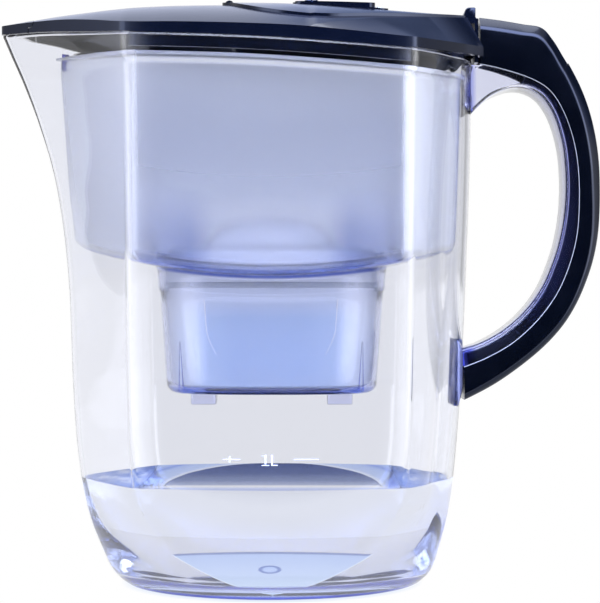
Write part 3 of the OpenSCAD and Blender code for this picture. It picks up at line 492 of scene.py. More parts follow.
nt = M["channel"].node_tree
p = next(n for n in nt.nodes if n.type == "BSDF_PRINCIPLED")
sx = nt.nodes.new("ShaderNodeSeparateXYZ")
nt.links.new(texco(nt), sx.inputs[0])
# Painted glow: the clear channel is painted deep blue where it meets the jug wall and lavender along the inner grip,
# standing in for light glowing along its edges.
nt.links.new(ramp(nt, span(nt, sx.outputs[0], 0.0, 1.0, 0.088, 0.128), [(0.0, (0.3, 0.34, 0.88)), (0.08, (0.96, 0.965, 0.985)), (0.55, (0.95, 0.955, 0.985)), (0.75, (0.72, 0.74, 0.98))]), p.inputs["Base Color"])
M["root"] = clear_plastic("clear_root", (0.2, 0.28, 0.92), 40.0, rough=0.08, base=(0.42, 0.48, 0.95), micro=0.05)
next(n for n in M["root"].node_tree.nodes if n.type == "BSDF_PRINCIPLED").inputs["Transmission Weight"].default_value = 0.68
# Painted shade: a darker, bluer copy of the reservoir plastic, so the rib and the well ridges read as deep-blue lines.
M["rib"] = clear_plastic("clear_rib", (0.1, 0.16, 0.92), 150.0, rough=0.04, base=(0.5, 0.54, 0.96), micro=0.02)
M["foot"] = clear_plastic("clear_feet", (0.2, 0.3, 0.95), 16.0, rough=0.03, micro=0.02)
M["hopper"] = clear_plastic("reservoir_tint", (0.06, 0.2, 0.86), 62.0, rough=0.17, micro=0.02)
nt = M["hopper"].node_tree
p = next(n for n in nt.nodes if n.type == "BSDF_PRINCIPLED")
sx = nt.nodes.new("ShaderNodeSeparateXYZ")
nt.links.new(texco(nt), sx.inputs[0])
low = math_node(nt, "MULTIPLY_ADD", math_node(nt, "POWER", sx.outputs[0], 2.0), -1.78, sx.outputs[2])
out_x = math_node(nt, "ABSOLUTE", sx.outputs[0])
side = span(nt, out_x, 0.0, 1.0, 0.0545, 0.0585)
rise = span(nt, low, 0.0, 1.0, 0.13, 0.23)
haze = ramp(nt, rise, [(0.10, (0.05, 0.05, 0.05)), (0.16, (0.2, 0.2, 0.2)), (0.5, (0.28, 0.28, 0.28)), (0.9, (0.36, 0.36, 0.36))])
nt.links.new(blend_rgb(nt, side, haze, (0.12, 0.12, 0.12)), p.inputs["Roughness"])
clear = ramp(nt, rise, [(0.1, (0.94, 0.94, 0.94)), (0.3, (0.87, 0.87, 0.87)), (0.65, (0.87, 0.87, 0.87)), (0.85, (0.8, 0.8, 0.8))])
clear = blend_rgb(nt, side, clear, blend_rgb(nt, span(nt, sx.outputs[0], 0.0, 1.0, -0.01, 0.01), (0.7, 0.7, 0.7), (0.45, 0.45, 0.45)))
nt.links.new(clear, p.inputs["Transmission Weight"])
basin = span(nt, low, 0.0, 1.0, 0.1352, 0.1359)
# Painted shade: low down, the reservoir is painted darker blue either side of the cartridge dome (about 25 to 50 mm
# out) and light in the middle.
low_side_shade = ramp(nt, math_node(nt, "MULTIPLY", out_x, 18.0), [(0.0, (1.0, 1.0, 1.0)), (0.42, (0.97, 0.98, 1.0)), (0.6, (0.64, 0.69, 0.87)), (0.95, (0.8, 0.84, 0.96))])
# Painted shade: the reservoir walls are painted greyer toward the top, under the lid.
painted_shading = ramp(nt, rise, [(0.1, (0.82, 0.86, 0.93)), (0.3, (0.86, 0.89, 0.94)), (0.5, (0.8, 0.83, 0.88)), (0.8, (0.76, 0.79, 0.84))])
painted_shading = blend_rgb(nt, span(nt, rise, 0.0, 1.0, 0.2, 0.42), low_side_shade, painted_shading)
# Painted light and shade: the side chamfers are painted near-white and their far ends bluer.
ends = span(nt, math_node(nt, "MAXIMUM", math_node(nt, "ADD", sx.outputs[0], -0.079), math_node(nt, "ADD", math_node(nt, "MULTIPLY_ADD", sx.outputs[2], -0.085, -0.0735), math_node(nt, "MULTIPLY", sx.outputs[0], -1.0))), 0.0, 1.0, 0.0, 0.006)
painted_shading = blend_rgb(nt, side, painted_shading, blend_rgb(nt, ends, (0.97, 0.985, 1.0), (0.5, 0.58, 0.98)))
# Painted shade: a deep-blue line along the rounded edge of the reservoir floor.
painted_shading = blend_rgb(nt, span(nt, low, 0.0, 1.0, 0.1372, 0.1381), (0.3, 0.38, 0.84), painted_shading)
# Painted shade: a deep-blue line along the bottom of the cartridge well.
well = blend_rgb(nt, span(nt, sx.outputs[2], 0.0, 1.0, 0.0858, 0.0874), (0.3, 0.38, 0.86), (1.0, 1.0, 1.0))
nt.links.new(blend_rgb(nt, basin, well, painted_shading), p.inputs["Base Color"])
M["cover"] = dark_plastic("dark_cover", (0.0003, 0.001, 0.004), (0.0004, 0.0013, 0.005), 0.12, 0.2, 0.1, 0.03)
M["insert"] = dark_plastic("dark_insert", (0.0005, 0.0012, 0.005), (0.0007, 0.0016, 0.006), 0.3, 0.42, 0.0)
M["lid"] = dark_plastic("lid_plastic", (0.0006, 0.0018, 0.008), (0.0008, 0.0023, 0.01), 0.13, 0.18, 0.0, 0.004, 0.5)
M["flap"] = dark_plastic("flap_plastic", (0.0006, 0.0018, 0.008), (0.0008, 0.0023, 0.01), 0.13, 0.18, 0.0, 0.004, 0.5)
M["cart"] = grainy("filter_plastic", (0.72, 0.86, 0.985), (0.77, 0.89, 0.99), 160, 0.42, 0, 0.12, 0.0001)
nt = M["cart"].node_tree
p = next(n for n in nt.nodes if n.type == "BSDF_PRINCIPLED")
sx = nt.nodes.new("ShaderNodeSeparateXYZ")
nt.links.new(texco(nt), sx.inputs[0])
# Painted shade: the flat front of the cup is painted a darker blue-grey and its rounded ends near-white, standing in
# for how the light falls on it.
cup_front_shade = ramp(nt, math_node(nt, "ADD", math_node(nt, "MULTIPLY", math_node(nt, "ABSOLUTE", sx.outputs[0]), 20.0), span(nt, noise(nt, texco(nt), 40, 3), -0.05, 0.05)), [(0.3, (0.47, 0.61, 0.83)), (0.56, (0.55, 0.69, 0.88)), (0.72, (0.9, 0.97, 1.0)), (0.85, (0.97, 1.0, 1.0))])
high_up = ramp(nt, span(nt, sx.outputs[2], 0.0, 1.0, 0.126, 0.165), [(0.0, (0.97, 0.98, 1.0)), (0.3, (0.93, 0.97, 1.0)), (1.0, (0.96, 0.98, 1.0))])
nt.links.new(blend_rgb(nt, span(nt, sx.outputs[2], 0.0, 1.0, 0.118, 0.136), cup_front_shade, high_up), p.inputs["Base Color"])
M["seal"] = grainy("seal", (0.5, 0.54, 0.6), (0.56, 0.6, 0.66), 300, 0.6)
M["mesh"] = grainy("mesh", (0.5, 0.55, 0.62), (0.8, 0.84, 0.9), 900, 0.5, 0, 0.6, 0.0003, True)
M["carbon"] = grainy("carbon", (0.006, 0.006, 0.007), (0.03, 0.03, 0.032), 700, 0.75, 0, 0.9, 0.0006, True)
M["resin"] = grainy("resin", (0.2, 0.11, 0.03), (0.5, 0.32, 0.12), 900, 0.35, 0, 0.9, 0.0005, True)
M["steel"] = grainy("steel", (0.5, 0.51, 0.53), (0.64, 0.65, 0.67), 400, 0.3, 1.0, 0.2, 0.00005)
M["board"] = grainy("board", (0.006, 0.07, 0.03), (0.012, 0.11, 0.05), 260, 0.4, 0, 0.3, 0.0001)
M["lcd"] = grainy("lcd", (0.26, 0.32, 0.27), (0.3, 0.36, 0.31), 300, 0.25, 0, 0.1, 0.00005)
M["button"] = grainy("button", (0.36, 0.42, 0.56), (0.42, 0.48, 0.62), 500, 0.45, 0, 0.2, 0.00005)
M["window"] = clear_plastic("window", (0.4, 0.5, 0.6), 60.0, rough=0.02)
M["lens"] = clear_plastic("lens", (0.3, 0.5, 0.9), 200.0, rough=0.03)
M["led"] = clear_plastic("led", (0.9, 0.95, 1.0), 20.0, rough=0.1)


def put(ob, material, body, nodes=()):
    ob.data.materials.clear()
    ob.data.materials.append(material)
    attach(ob, body)
    if nodes:
        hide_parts(*nodes)
    return ob


def repaint(node, material):
    o = NODES[node]
    if not o.material_slots:
        o.data.materials.append(material)
    for s in o.material_slots:
        s.link = "OBJECT"
        s.material = material


# ---------------------------------------------------------------- jug
def zs(a, b, n):
    return list(np.linspace(a, b, n))


R = [jug_ring(1.0, 6.5), jug_ring(0.5, 5.9), jug_ring(0.12, 5.2), jug_ring(0, 4.6), jug_ring(0, 2.4), jug_ring(0, 0.5)]
R += [jug_ring(z, 0) for z in [0.25, 0.6, 1.2, 2, 3, 4.2, 5.6, 7.2, 9, 11, 13.5, 16, 19, 22, 25, 28.5, 32, 36, 40, 44, 48, 53, 60, 68, 78, 90, 104, 118, 130] + zs(138, 216, 27) + [218.5, 220.5, 221.4, 222.3, 223.2, 224, 225, 227, 230, 232]]
R += [jug_ring(232.6, 0.06), jug_ring(232.9, 0.26), jug_ring(233, 0.6), jug_ring(233, 1.7), jug_ring(232.9, 2.04), jug_ring(232.6, 2.24)]
R += [jug_ring(z, jug_inset(z)) for z in [232, 230, 227, 225, 224, 223.2, 222.3, 221.4, 220.5, 218.5] + zs(216, 138, 27) + [130, 118, 104, 90, 78, 68, 60, 53, 48, 44, 40, 36, 32, 28.5, 25, 22, 19, 16, 13.5, 11, 9.4, 8]]
for dz, dd in ((2.9, 0.0), (2.0, 0.35), (1.2, 0.9), (0.6, 1.7), (0.2, 2.8), (0.0, 4.2), (0.0, 12.0)):
    r = jug_ring(FLOOR_Z + dz, jug_inset(FLOOR_Z + dz) + dd)
    r[:, 2] = FLOOR_Z + dz
    R.append(r)
jug = loft("jug_shell", R)
put(jug, M["jug"], "jug", ["jug_body"])
gate = loft("gate_pad", [np.c_[5 * np.cos(np.linspace(0, 2 * np.pi, 64, endpoint=False)), 5 * np.sin(np.linspace(0, 2 * np.pi, 64, endpoint=False)), np.full(64, z)] * np.array([s, s, 1]) for z, s in ((0.05, 0.9), (0.2, 1.0), (0.95, 1.0))], 40)
put(gate, M["channel"], "jug", ["jug_body"])


def hp(t, c):
    return np.array([lk(HAND, t, c), lk(HAND, t, c + 1)])


def hand_ring(t, S, radii, k=4):
    I, L, O = hp(t, 1), hp(t, 3), hp(t, 5)
    a, b = unit(L - I), unit(O - L)
    P = []
    for y, n, w in S:
        p = I + a * n if w == 0 else (L + b * n if w == 1 else O + b * n)
        P.append([p[0], y, p[1]])
    return rounded(np.array(P), radii, k)


def core_section(t):
    w, q, k = 11.7, 9.3, lk(HAND, t, 7)
    return [[-w, 0, 0], [w, 0, 0], [w, k, 1], [q, k, 1], [q, 1.6, 0], [-q, 1.6, 0], [-q, k, 1], [-w, k, 1]]


BEVEL = [[0, 1], [7, 1], [10, 0.86], [12, 0.74], [14, 0.56], [16, 0.42], [18, 0.34], [23, 0.32]]


def cover_section(lift, t=0):
    w, v, b = 13.5, 11.9, 4.8 * lk(BEVEL, t, 1)
    return [[-w, 0, 1], [-v, 0, 1], [-v, -b - 1.4, 2], [-v + 3.2, -2.4, 2], [v - 3.2, -2.4, 2], [v, -b - 1.4, 2], [v, 0, 1], [w, 0, 1],
            [w + lift * 0.5, -b, 2], [w - b, lift, 2], [-w + b, lift, 2], [-w - lift * 0.5, -b, 2]]


def insert_section(t):
    q = 9.0
    return [[-q, 1.9, 0], [q, 1.9, 0], [q, 3.2, 1], [-q, 3.2, 1]]


core = loft("handle_channel", [hand_ring(t, core_section(t), [1.5, 1.5, 0.6, 0.6, 1.0, 1.0, 0.6, 0.6]) for t in np.arange(0.25, 22.61, 0.149)])
put(core, M["channel"], "jug", ["jug_body"])


def ends(t0, t1, step, section, radii, k=4, pull=0.5):
    """stations between t0 and t1 at about the given step; the first and last rings are left as they are"""
    ts = np.linspace(t0, t1, max(int(round((t1 - t0) / step)), 6))
    rings = [hand_ring(t, section(t), radii, k) for t in ts]
    for i, f in ((0, 1.0), (-1, 1.0)):
        c = rings[i].mean(0)
        inner = rings[i] + (c - rings[i]) * 0.0
        rings[i] = inner
    return rings


cov_r = [0.5, 0.4, 1.0, 1.0, 1.0, 1.0, 0.4, 0.5, 1.3, 1.1, 1.1, 1.3]
cap = loft("handle_front_cap", ends(1.0, 6.49, 0.1, lambda t: cover_section(0), cov_r), 50)
put(cap, M["cover"], "jug", ["handle_cap"])
cover = loft("handle_grip_cover", ends(6.5, 22.2, 0.1, lambda t: cover_section(0.5 - 0.02, t), cov_r), 50)
put(cover, M["cover"], "jug", ["handle_cover"])
# Painted highlight: a lighter grey copy of the cover plastic on the corner faces along both lower edges of the cap and
# cover, standing in for a thin light line.
M["edge"] = dark_plastic("cover_edge_highlight", (0.2, 0.22, 0.27), (0.26, 0.28, 0.34), 0.2, 0.3, 0.0, 0.03)
for o in (cap, cover):
    o.data.materials.append(M["edge"])
    ring_n = 60
    for f in o.data.polygons:
        v = sorted({i % ring_n for i in f.vertices})
        if len(f.vertices) == 4 and len(v) == 2 and v[1] - v[0] == 1 and (v[0] in (1, 2) or v[0] in (36, 37)):
            f.material_index = 1
liner = loft("handle_liner", ends(4.3, 21.8, 0.15, insert_section, [1.2, 1.2, 1.0, 1.0]), 50)
put(liner, M["insert"], "jug", ["handle_insert"])


def pad_ring(x, hy, z0, z1, r):
    P = slab_poly(-hy, hy, (z1 - z0) / 2, r, 8)
    return np.array([[x, p[0], (z0 + z1) / 2 + p[1]] for p in P])


pad = loft("handle_root_pad", [pad_ring(82.1, 19.9, 79.1, 108.9, 5), pad_ring(82.7, 19.4, 79.4, 108.6, 5), pad_ring(83.4, 17.6, 81.2, 107.6, 4.5), pad_ring(84.1, 15.2, 83.2, 106.6, 4), pad_ring(84.7, 13.0, 85.0, 105.4, 3.5), pad_ring(85.0, 11.4, 86.3, 104.7, 3)])
put(pad, M["root"], "jug", ["jug_body"])


def wall_y(x, z):
    return -(lk(JUG, z, 3) + lk(JUG, z, 4) * (1 - x * x / lk(JUG, z, 2) ** 2))


marks = []
for i, (x0, z0, x1, z1) in enumerate([(-19.4, 59.7, -12.2, 60.4), (-16.9, 58.6, -16.2, 61.5), (-2.1, 57.9, -1.3, 62.2), (-3.3, 61.2, -2.1, 61.9), (-3.3, 57.3, -0.1, 57.9), (0.6, 57.3, 1.4, 62.2), (0.6, 57.3, 3.4, 58.0), (10.0, 59.7, 20.4, 60.4)]):
    xs = np.linspace(x0, x1, 9)
    rings = []
    for x in xs:
        y = wall_y(x, 60) + 0.02
        rings.append([[x, y, z0 + 0.1], [x, y - 0.12, z0 + 0.2], [x, y - 0.12, z1 - 0.2], [x, y, z1 - 0.1], [x, y + 0.2, z1 - 0.1], [x, y + 0.2, z0 + 0.1]])
    marks.append(loft("litre_mark_%d" % i, [np.array(r) for r in rings], 30))
mark_mat = grainy("mark_white", (0.3, 0.34, 0.5), (0.36, 0.4, 0.56), 500, 0.5, 0, 0.1, 0.00003)
for o in marks:
    put(o, mark_mat, "jug", ["jug_body"])

# ---------------------------------------------------------------- reservoir
WA, WB, WZ = 50.6, 38.0, 85.0
arc = [math.radians(a) for a in (0, 12, 24, 36, 48, 60, 72, 84)]
R = [oval_ring(WA - 30, WB - 25, WZ), oval_ring(WA - 8, WB - 7, WZ)]
R += [oval_ring(WA - 3.5 - 4.5 * (1 - math.sin(a)), WB - 2.7 - 4.3 * (1 - math.sin(a)), WZ + 4 * (1 - math.cos(a))) for a in arc[1:]]
R += [oval_ring(WA - 3.3 + 2.7 * f, WB - 2.5 + 2.0 * f, WZ + 6 + (127.2 - WZ - 6) * f, 0.6 * f) for f in (0, 0.12, 0.3, 0.5, 0.7, 0.88, 1)]
R += [oval_ring(WA - 0.1, WB - 0.1, 127.9, 0.6), oval_ring(WA + 0.15, WB + 0.1, 128.7, 0.6), oval_ring(WA + 0.2, WB + 0.12, 129.6, 0.62), oval_ring(WA + 0.3, WB + 0.2, 131.5, 0.7), oval_ring(WA + 0.6, WB + 0.35, 134.4, 0.9), oval_ring(WA + 1.2, WB + 0.7, LOW - 0.3, 0.98), oval_ring(WA + 2.4, WB + 1.6, LOW, 1)]
R += [hop_ring(LOW, 14), hop_ring(LOW, 10)]
R += [hop_ring(LOW + 6 * (1 - math.cos(a)), 7 * (1 - math.sin(a))) for a in arc + [math.pi / 2]]
R += [hop_ring(z, 0) for z in zs(146, 219, 14)]
fl = [np.array([[p[0], p[1], rim(p[0]) + dz] for p in plan_ring(FLANGE, 220, dd)]) for dd, dz in ((0.35, -8.8), (0.08, -8.6), (0, -8.3), (0, -7.5), (0.08, -7.2), (0.35, -7.1))]
R += [np.array([[p[0], p[1], rim(p[0]) - 9.3] for p in plan_ring(HOP, 222, 0)]), np.array([[p[0], p[1], rim(p[0]) - 8.8] for p in plan_ring(HOP, 222, -0.4)])] + fl
R += [np.array([[p[0], p[1], rim(p[0]) - 7.1] for p in plan_ring(HOP, 226, 2)])]
R += [hop_ring(z, 2) for z in zs(219, 146, 14)]
R += [hop_ring(LOW + 2 + 5 * (1 - math.cos(a)), 2 + 5.5 * (1 - math.sin(a))) for a in [math.pi / 2] + arc[::-1]]
R += [hop_ring(LOW + 2, 12), oval_ring(WA + 1.2, WB + 0.4, LOW + 2, 1), oval_ring(WA - 0.9, WB - 1.2, LOW + 1.2, 1), oval_ring(WA - 1.6, WB - 1.7, 134, 0.8), oval_ring(WA - 2, WB - 2, 130.2, 0.6)]
R += [oval_ring(WA - 2 - 3.3 * f, WB - 2 - 2.5 * f, 130.2 - (130.2 - WZ - 6) * f, 0.6 * (1 - f)) for f in (0.2, 0.45, 0.7, 1)]
R += [oval_ring(WA - 5.7, WB - 4.9, WZ + 3.6), oval_ring(WA - 6.8, WB - 6, WZ + 2.4), oval_ring(WA - 9, WB - 8, WZ + 2), oval_ring(WA - 30, WB - 25, WZ + 2)]
hopper = loft("reservoir_basin", R)
put(hopper, M["hopper"], "reservoir", ["hopper"])
rib = loft("reservoir_rib", [np.array([[-92.6, -9 + e, z], [-89.8, -9 + e, z], [-89.8, 9 - e, z], [-92.6, 9 - e, z]]) for z, e in ((228.2, 0.5), (229, 0.1), (235.4, 0.1), (236.2, 0.6))], 30)
put(rib, M["rib"], "reservoir", ["hopper"])
for s in (-1, 1):
    P = slab_poly(s * 30.4 - 5.6, s * 30.4 + 5.6, 11.4, 1.6, 6)
    foot = loft("well_foot_%s" % ("a" if s < 0 else "b"), [np.array([[s * 30.4 + (p[0] - s * 30.4) * k, p[1] * k, z] for p in P]) for z, k in ((79.8, 0.96), (80.0, 0.99), (80.5, 1.0), (85.1, 1.0))], 40)
    put(foot, M["foot"], "reservoir", ["hopper"])

for s in (-1, 1):
    for k, (xa, xb) in enumerate(((38.2, 39.6), (40.2, 40.0))):
        R = []
        for f in np.linspace(0, 1, 9):
            z = 86.5 + 21.5 * f
            x = xa + (xb - xa) * f
            g = (z - WZ - 6) / (127.2 - WZ - 6)
            g = min(max(g, 0), 1)
            a, b = WA - 3.3 + 2.7 * g, WB - 2.5 + 2.0 * g
            y = -b * (1 - (x / a) ** 2.8) ** (1 / 2.8)
            w = 0.3 * (1 - 0.75 * f)
            R.append([[s * (x - w), y + 0.1, z], [s * x, y - 0.22 * (1 - 0.6 * f), z], [s * (x + w), y + 0.1, z], [s * x, y + 0.4, z]])
        put(loft("well_ridge_%s%d" % ("a" if s < 0 else "b", k), [np.array(r) for r in R], 30), M["rib"], "reservoir", ["hopper"])

# ---------------------------------------------------------------- cartridge
CA, CB, CZ = WA - 6.1, WB - 5.3, WZ + 2.5
R = [oval_ring(CA - 25, CB - 20, CZ), oval_ring(CA - 3, CB - 3, CZ), oval_ring(CA - 1.4, CB - 1.4, CZ + 0.4), oval_ring(CA - 0.4, CB - 0.4, CZ + 1.2), oval_ring(CA, CB, CZ + 4)]
R += [oval_ring(CA + 2.7 * f, CB + 2.4 * f, CZ + 4 + (128 - CZ - 4) * f) for f in (0.25, 0.5, 0.75, 1)]
R += [oval_ring(CA + 3.4, CB + 2.8, 138.9, 1), oval_ring(CA + 7.0, CB + 6.0, 139.3, 1), oval_ring(CA + 7.2, CB + 6.2, 139.9, 1), oval_ring(CA + 7.0, CB + 6.0, 140.7, 1), oval_ring(CA + 3.4, CB + 2.8, 140.8, 1), oval_ring(CA + 3.0, CB + 2.4, 140.6, 1),
      oval_ring(CA + 1.1, CB + 0.8, 128), oval_ring(CA - 1.5, CB - 1.5, CZ + 5), oval_ring(CA - 4.5, CB - 4.5, CZ + 1.5)]
cup = loft("cartridge_cup", R, 40)
put(cup, M["cart"], "cartridge", ["cartridge_shell"])
M["ridge"] = grainy("filter_ridge", (0.9, 0.95, 1.0), (0.97, 0.98, 1.0), 300, 0.35, 0, 0.1, 0.0001)
for s in (-1, 1):
    R = []
    for f in np.linspace(0, 1, 15):
        z = 127.0 - 24.5 * f
        x = 28.6 - 1.6 * f - 3.6 * max(f - 0.55, 0) ** 1.6 / 0.28
        g = min(max((z - CZ - 4) / (128 - CZ - 4), 0), 1)
        a, b = CA + 2.7 * g, CB + 2.4 * g
        y = -b * (1 - (x / a) ** 2.8) ** (1 / 2.8)
        w = 0.42 * (1 - 0.5 * f)
        R.append([[s * (x - w), y + 0.1, z], [s * x, y - 0.2, z], [s * (x + w), y + 0.1, z], [s * x, y + 0.5, z]])
    put(loft("cup_ridge_%s" % ("a" if s < 0 else "b"), [np.array(r) for r in R], 30), M["ridge"], "cartridge", ["cartridge_shell"])
prof = [(CA + 2.0, CB + 1.5, 138.6), (CA + 1.8, CB + 1.3, 146.2), (CA + 1.4, CB + 1.0, 147.4), (CA + 0.2, CB + 0.1, 148.2), (CA - 1.4, CB - 1.2, 148.6), (34, 25.4, 149.2), (30, 22.6, 149.9), (28.4, 21.4, 150.9), (27.6, 20.8, 152.4), (26.3, 19.8, 154.4),
        (24.4, 18.4, 156.6), (22.1, 16.6, 158.5), (19.4, 14.6, 160), (16.2, 12.2, 161.3), (12.6, 9.4, 162.2), (9.8, 7.2, 162.7), (7, 5.2, 162.95), (3, 2.2, 163)]
dome = loft("cartridge_dome", [oval_ring(a, b, z) for a, b, z in prof] + [oval_ring(a - 1.5, b - 1.5, z - 1.5) for a, b, z in prof[::-1][1:-1]] + [oval_ring(CA + 0.5, CB, 138.6)], 40)
put(dome, M["cart"], "cartridge", ["cartridge_cap"])


# ---------------------------------------------------------------- lid
LIDV = np.array([[-123.4, 0], [-62.2, -60.4], [61.2, -60.4], [93.8, -16.4], [93.8, 16.4], [61.2, 60.4], [-62.2, 60.4]])
LK2 = [12, 6, 6, 4, 4, 6, 6]
LM2 = [16, 44, 16, 1, 16, 44, 16]


def lid_half(d):
    r = outline(inset(LIDV, d), [5, 1.8, 1.8, 0.4, 0.4, 1.8, 1.8], [1.2, 10.7, 1.2, 0, 1.2, 10.7, 1.2], LK2, LM2)
    n0 = LK2[0] // 2
    n1 = sum(LK2[:3]) + 3 + sum(LM2[:3]) + LK2[3] // 2
    H = r[n0:n1 + 1].copy()
    H[0][1] = 0
    return H


def lid_body(name, d, t, e, m=44, soft=0.0):
    """the solid of the lid: skirt line, crease, scooped flanks and the domed top"""
    H = lid_half(d)
    n = len(H) - 1
    a0 = LK2[0] // 2 + 1 + LM2[0] + LK2[1] + 1
    ci = a0 + int(round((LM2[1] + 1) * 7 / 11)) - 1
    P1, P2 = H[ci], np.array([86.6 - d, -14.8 + d])
    edge1 = lk(LID_EDGE, P1[0], 1)
    S = [np.array([p[0], p[1], rim(p[0]) + e]) for p in H]
    E = [np.array([p[0], p[1], lk(LID_EDGE, p[0], 1) - t]) for p in H]
    D = []
    for i in range(n + 1):
        if i <= ci:
            D.append(E[i])
        else:
            f = (i - ci) / (n - ci)
            q = P1 * (1 - f) + P2 * f
            D.append(np.array([q[0], q[1], max(lk(LID_SPINE, q[0], 1), edge1 + 0.02) - t]))
    v, idx = [], {}

    def add(key, p):
        if key not in idx:
            idx[key] = len(v)
            v.append(p)
        return idx[key]

    def T(i, j):
        if i == 0:
            return add(("n",), D[0] * [1, 0, 1])
        w = -math.cos(math.pi * j / m)
        p = D[i]
        c = max(lk(LID_TOP, p[0], 1) - t, p[2])
        return add(("t", i, j), np.array([p[0], -p[1] * w, p[2] + (c - p[2]) * (1 - w * w)]))

    def B(i, j):
        if i == 0:
            return add(("bn",), S[0] * [1, 0, 1])
        w = -math.cos(math.pi * j / m)
        return add(("b", i, j), np.array([S[i][0], -S[i][1] * w, S[i][2]]))

    def EF(i, s):
        if i <= ci:
            return T(i, 0 if s < 0 else m)
        p = E[i]
        return add(("e", i, s), np.array([p[0], p[1] if s < 0 else -p[1], p[2]]))

    f = []

    def face(*q):
        out = []
        for x in q:
            if x not in out:
                out.append(x)
        if len(out) > 2:
            f.append(tuple(out))

    for i in range(n):
        for j in range(m):
            face(T(i, j), T(i, j + 1), T(i + 1, j + 1), T(i + 1, j))
            face(B(i, j), B(i + 1, j), B(i + 1, j + 1), B(i, j + 1))
        face(B(i, 0), EF(i, -1), EF(i + 1, -1), B(i + 1, 0))
        face(B(i, m), B(i + 1, m), EF(i + 1, 1), EF(i, 1))
        if i >= ci:
            face(EF(i, -1), T(i, 0), T(i + 1, 0), EF(i + 1, -1))
            face(EF(i, 1), EF(i + 1, 1), T(i + 1, m), T(i, m))
    for j in range(m):
        face(B(n, j), T(n, j), T(n, j + 1), B(n, j + 1))
    face(B(n, 0), EF(n, -1), T(n, 0))
    face(B(n, m), T(n, m), EF(n, 1))
    return build(name, v, f, 28)


def skirt_ring(d, z):
    return np.array([[p[0], p[1], rim(p[0]) + z if z < 100 else z] for p in plan_ring(SKIRT, 220, d)])


def smooth_poly(P, k=6):
    """rounds a coarse outline"""
    P = [np.array(p, float) for p in P]
    n = len(P)
    out = []
    for i in range(n):
        p0, p1, p2, p3 = P[i - 1], P[i], P[(i + 1) % n], P[(i + 2) % n]
        for j in range(k):
            t = j / k
            out.append(0.5 * ((2 * p1) + (p2 - p0) * t + (2 * p0 - 5 * p1 + 4 * p2 - p3) * t * t + (3 * p1 - p0 - 3 * p2 + p3) * t ** 3))
    return np.array(out)


FLAP = FLAP_HALF + [[x, -y] for x, y in FLAP_HALF[-2:0:-1]]


def flap_poly(d, rear=None):
    P = np.array(FLAP, float)
    half = P[:16]
    curve = [half[0]]
    S = [half[0] * [1, 1]] + [p for p in half[1:]]
    dense = []
    for i in range(len(S) - 1):
        p0 = S[i - 1] if i > 0 else S[1] * [1, -1]
        p1, p2 = S[i], S[i + 1]
        p3 = S[i + 2] if i + 2 < len(S) else p2
        for j in range(6):
            t = j / 6
            dense.append(0.5 * ((2 * p1) + (p2 - p0) * t + (2 * p0 - 5 * p1 + 4 * p2 - p3) * t * t + (3 * p1 - p0 - 3 * p2 + p3) * t ** 3))
    dense.append(S[-1])
    poly = np.array(dense + [q * [1, -1] for q in dense[:0:-1]])
    n = len(poly)
    out = []
    for i in range(n):
        a, b = unit(poly[i] - poly[i - 1]), unit(poly[(i + 1) % n] - poly[i])
        p, q = np.array([a[1], -a[0]]), np.array([b[1], -b[0]])
        out.append(poly[i] + (p + q) * d / (1 + p @ q))
    return np.array(out)


def flap_prism(name, d, z0, z1):
    return prism(name, flap_poly(d), z0, z1)


def lifted(ob, dz):
    for v in ob.data.vertices:
        v.co.z += dz * 0.001
    return ob


def spine_block(name):
    P = [[85.3, 248.7], [90.1, 248.7], [90.1, 231.4], [91.6, 231.4], [91.6, 250.9], [85.3, 251.35]]
    n = len(P)
    v = [[x, -13.9, z] for x, z in P] + [[x, 13.9, z] for x, z in P]
    f = [tuple(range(n)), tuple(range(2 * n - 1, n - 1, -1))] + [(i, n + i, n + (i + 1) % n, (i + 1) % n) for i in range(n)]
    return build(name, v, f, 20)


def ear(name, x, z, r, y0, y1, foot):
    n = 40
    pts = [[x + r * math.cos(a), z + r * math.sin(a)] for a in np.linspace(0, math.pi, n // 2 + 1)]
    pts += foot
    v = [[p[0], y0, p[1]] for p in pts] + [[p[0], y1, p[1]] for p in pts]
    k = len(pts)
    f = [tuple(range(k)), tuple(range(2 * k - 1, k - 1, -1))] + [(i, k + i, k + (i + 1) % k, (i + 1) % k) for i in range(k)]
    return build(name, v, f, 25)


inner_works = loft("x1", [skirt_ring(0, -5.1), skirt_ring(0, 262), skirt_ring(1.6, 262), skirt_ring(1.6, -5.1)], 30, hoop=True)
inner_works = csg(inner_works, ("DIFFERENCE", box("x40", 59.4, 159.4, -100, 100, 200, 280)), ("DIFFERENCE", box("x41", -159.4, -59.4, -100, 100, 200, 280)))
chute = csg(flap_prism("x2", -3.4, 240, 270), ("DIFFERENCE", flap_prism("x3", -5, 230, 280)))
inner_works = csg(inner_works, ("UNION", chute), ("UNION", box("x4", -24.6, -12.5, -27, 27, 250.4, 260.4)), ("INTERSECT", lid_body("x5", 0.8, 0.8, -8)))
seat = csg(flap_prism("x6", 0.5, 236, 270), ("DIFFERENCE", lifted(lid_body("x7", 0, 0, -14), -1.3)), ("DIFFERENCE", box("x8", 86.2, 106, -30, 30, 230, 280)))
opening = csg(flap_prism("x9", -5, 230, 270), ("DIFFERENCE", box("x10", -25, -12.5, -30, 30, 230, 280)))
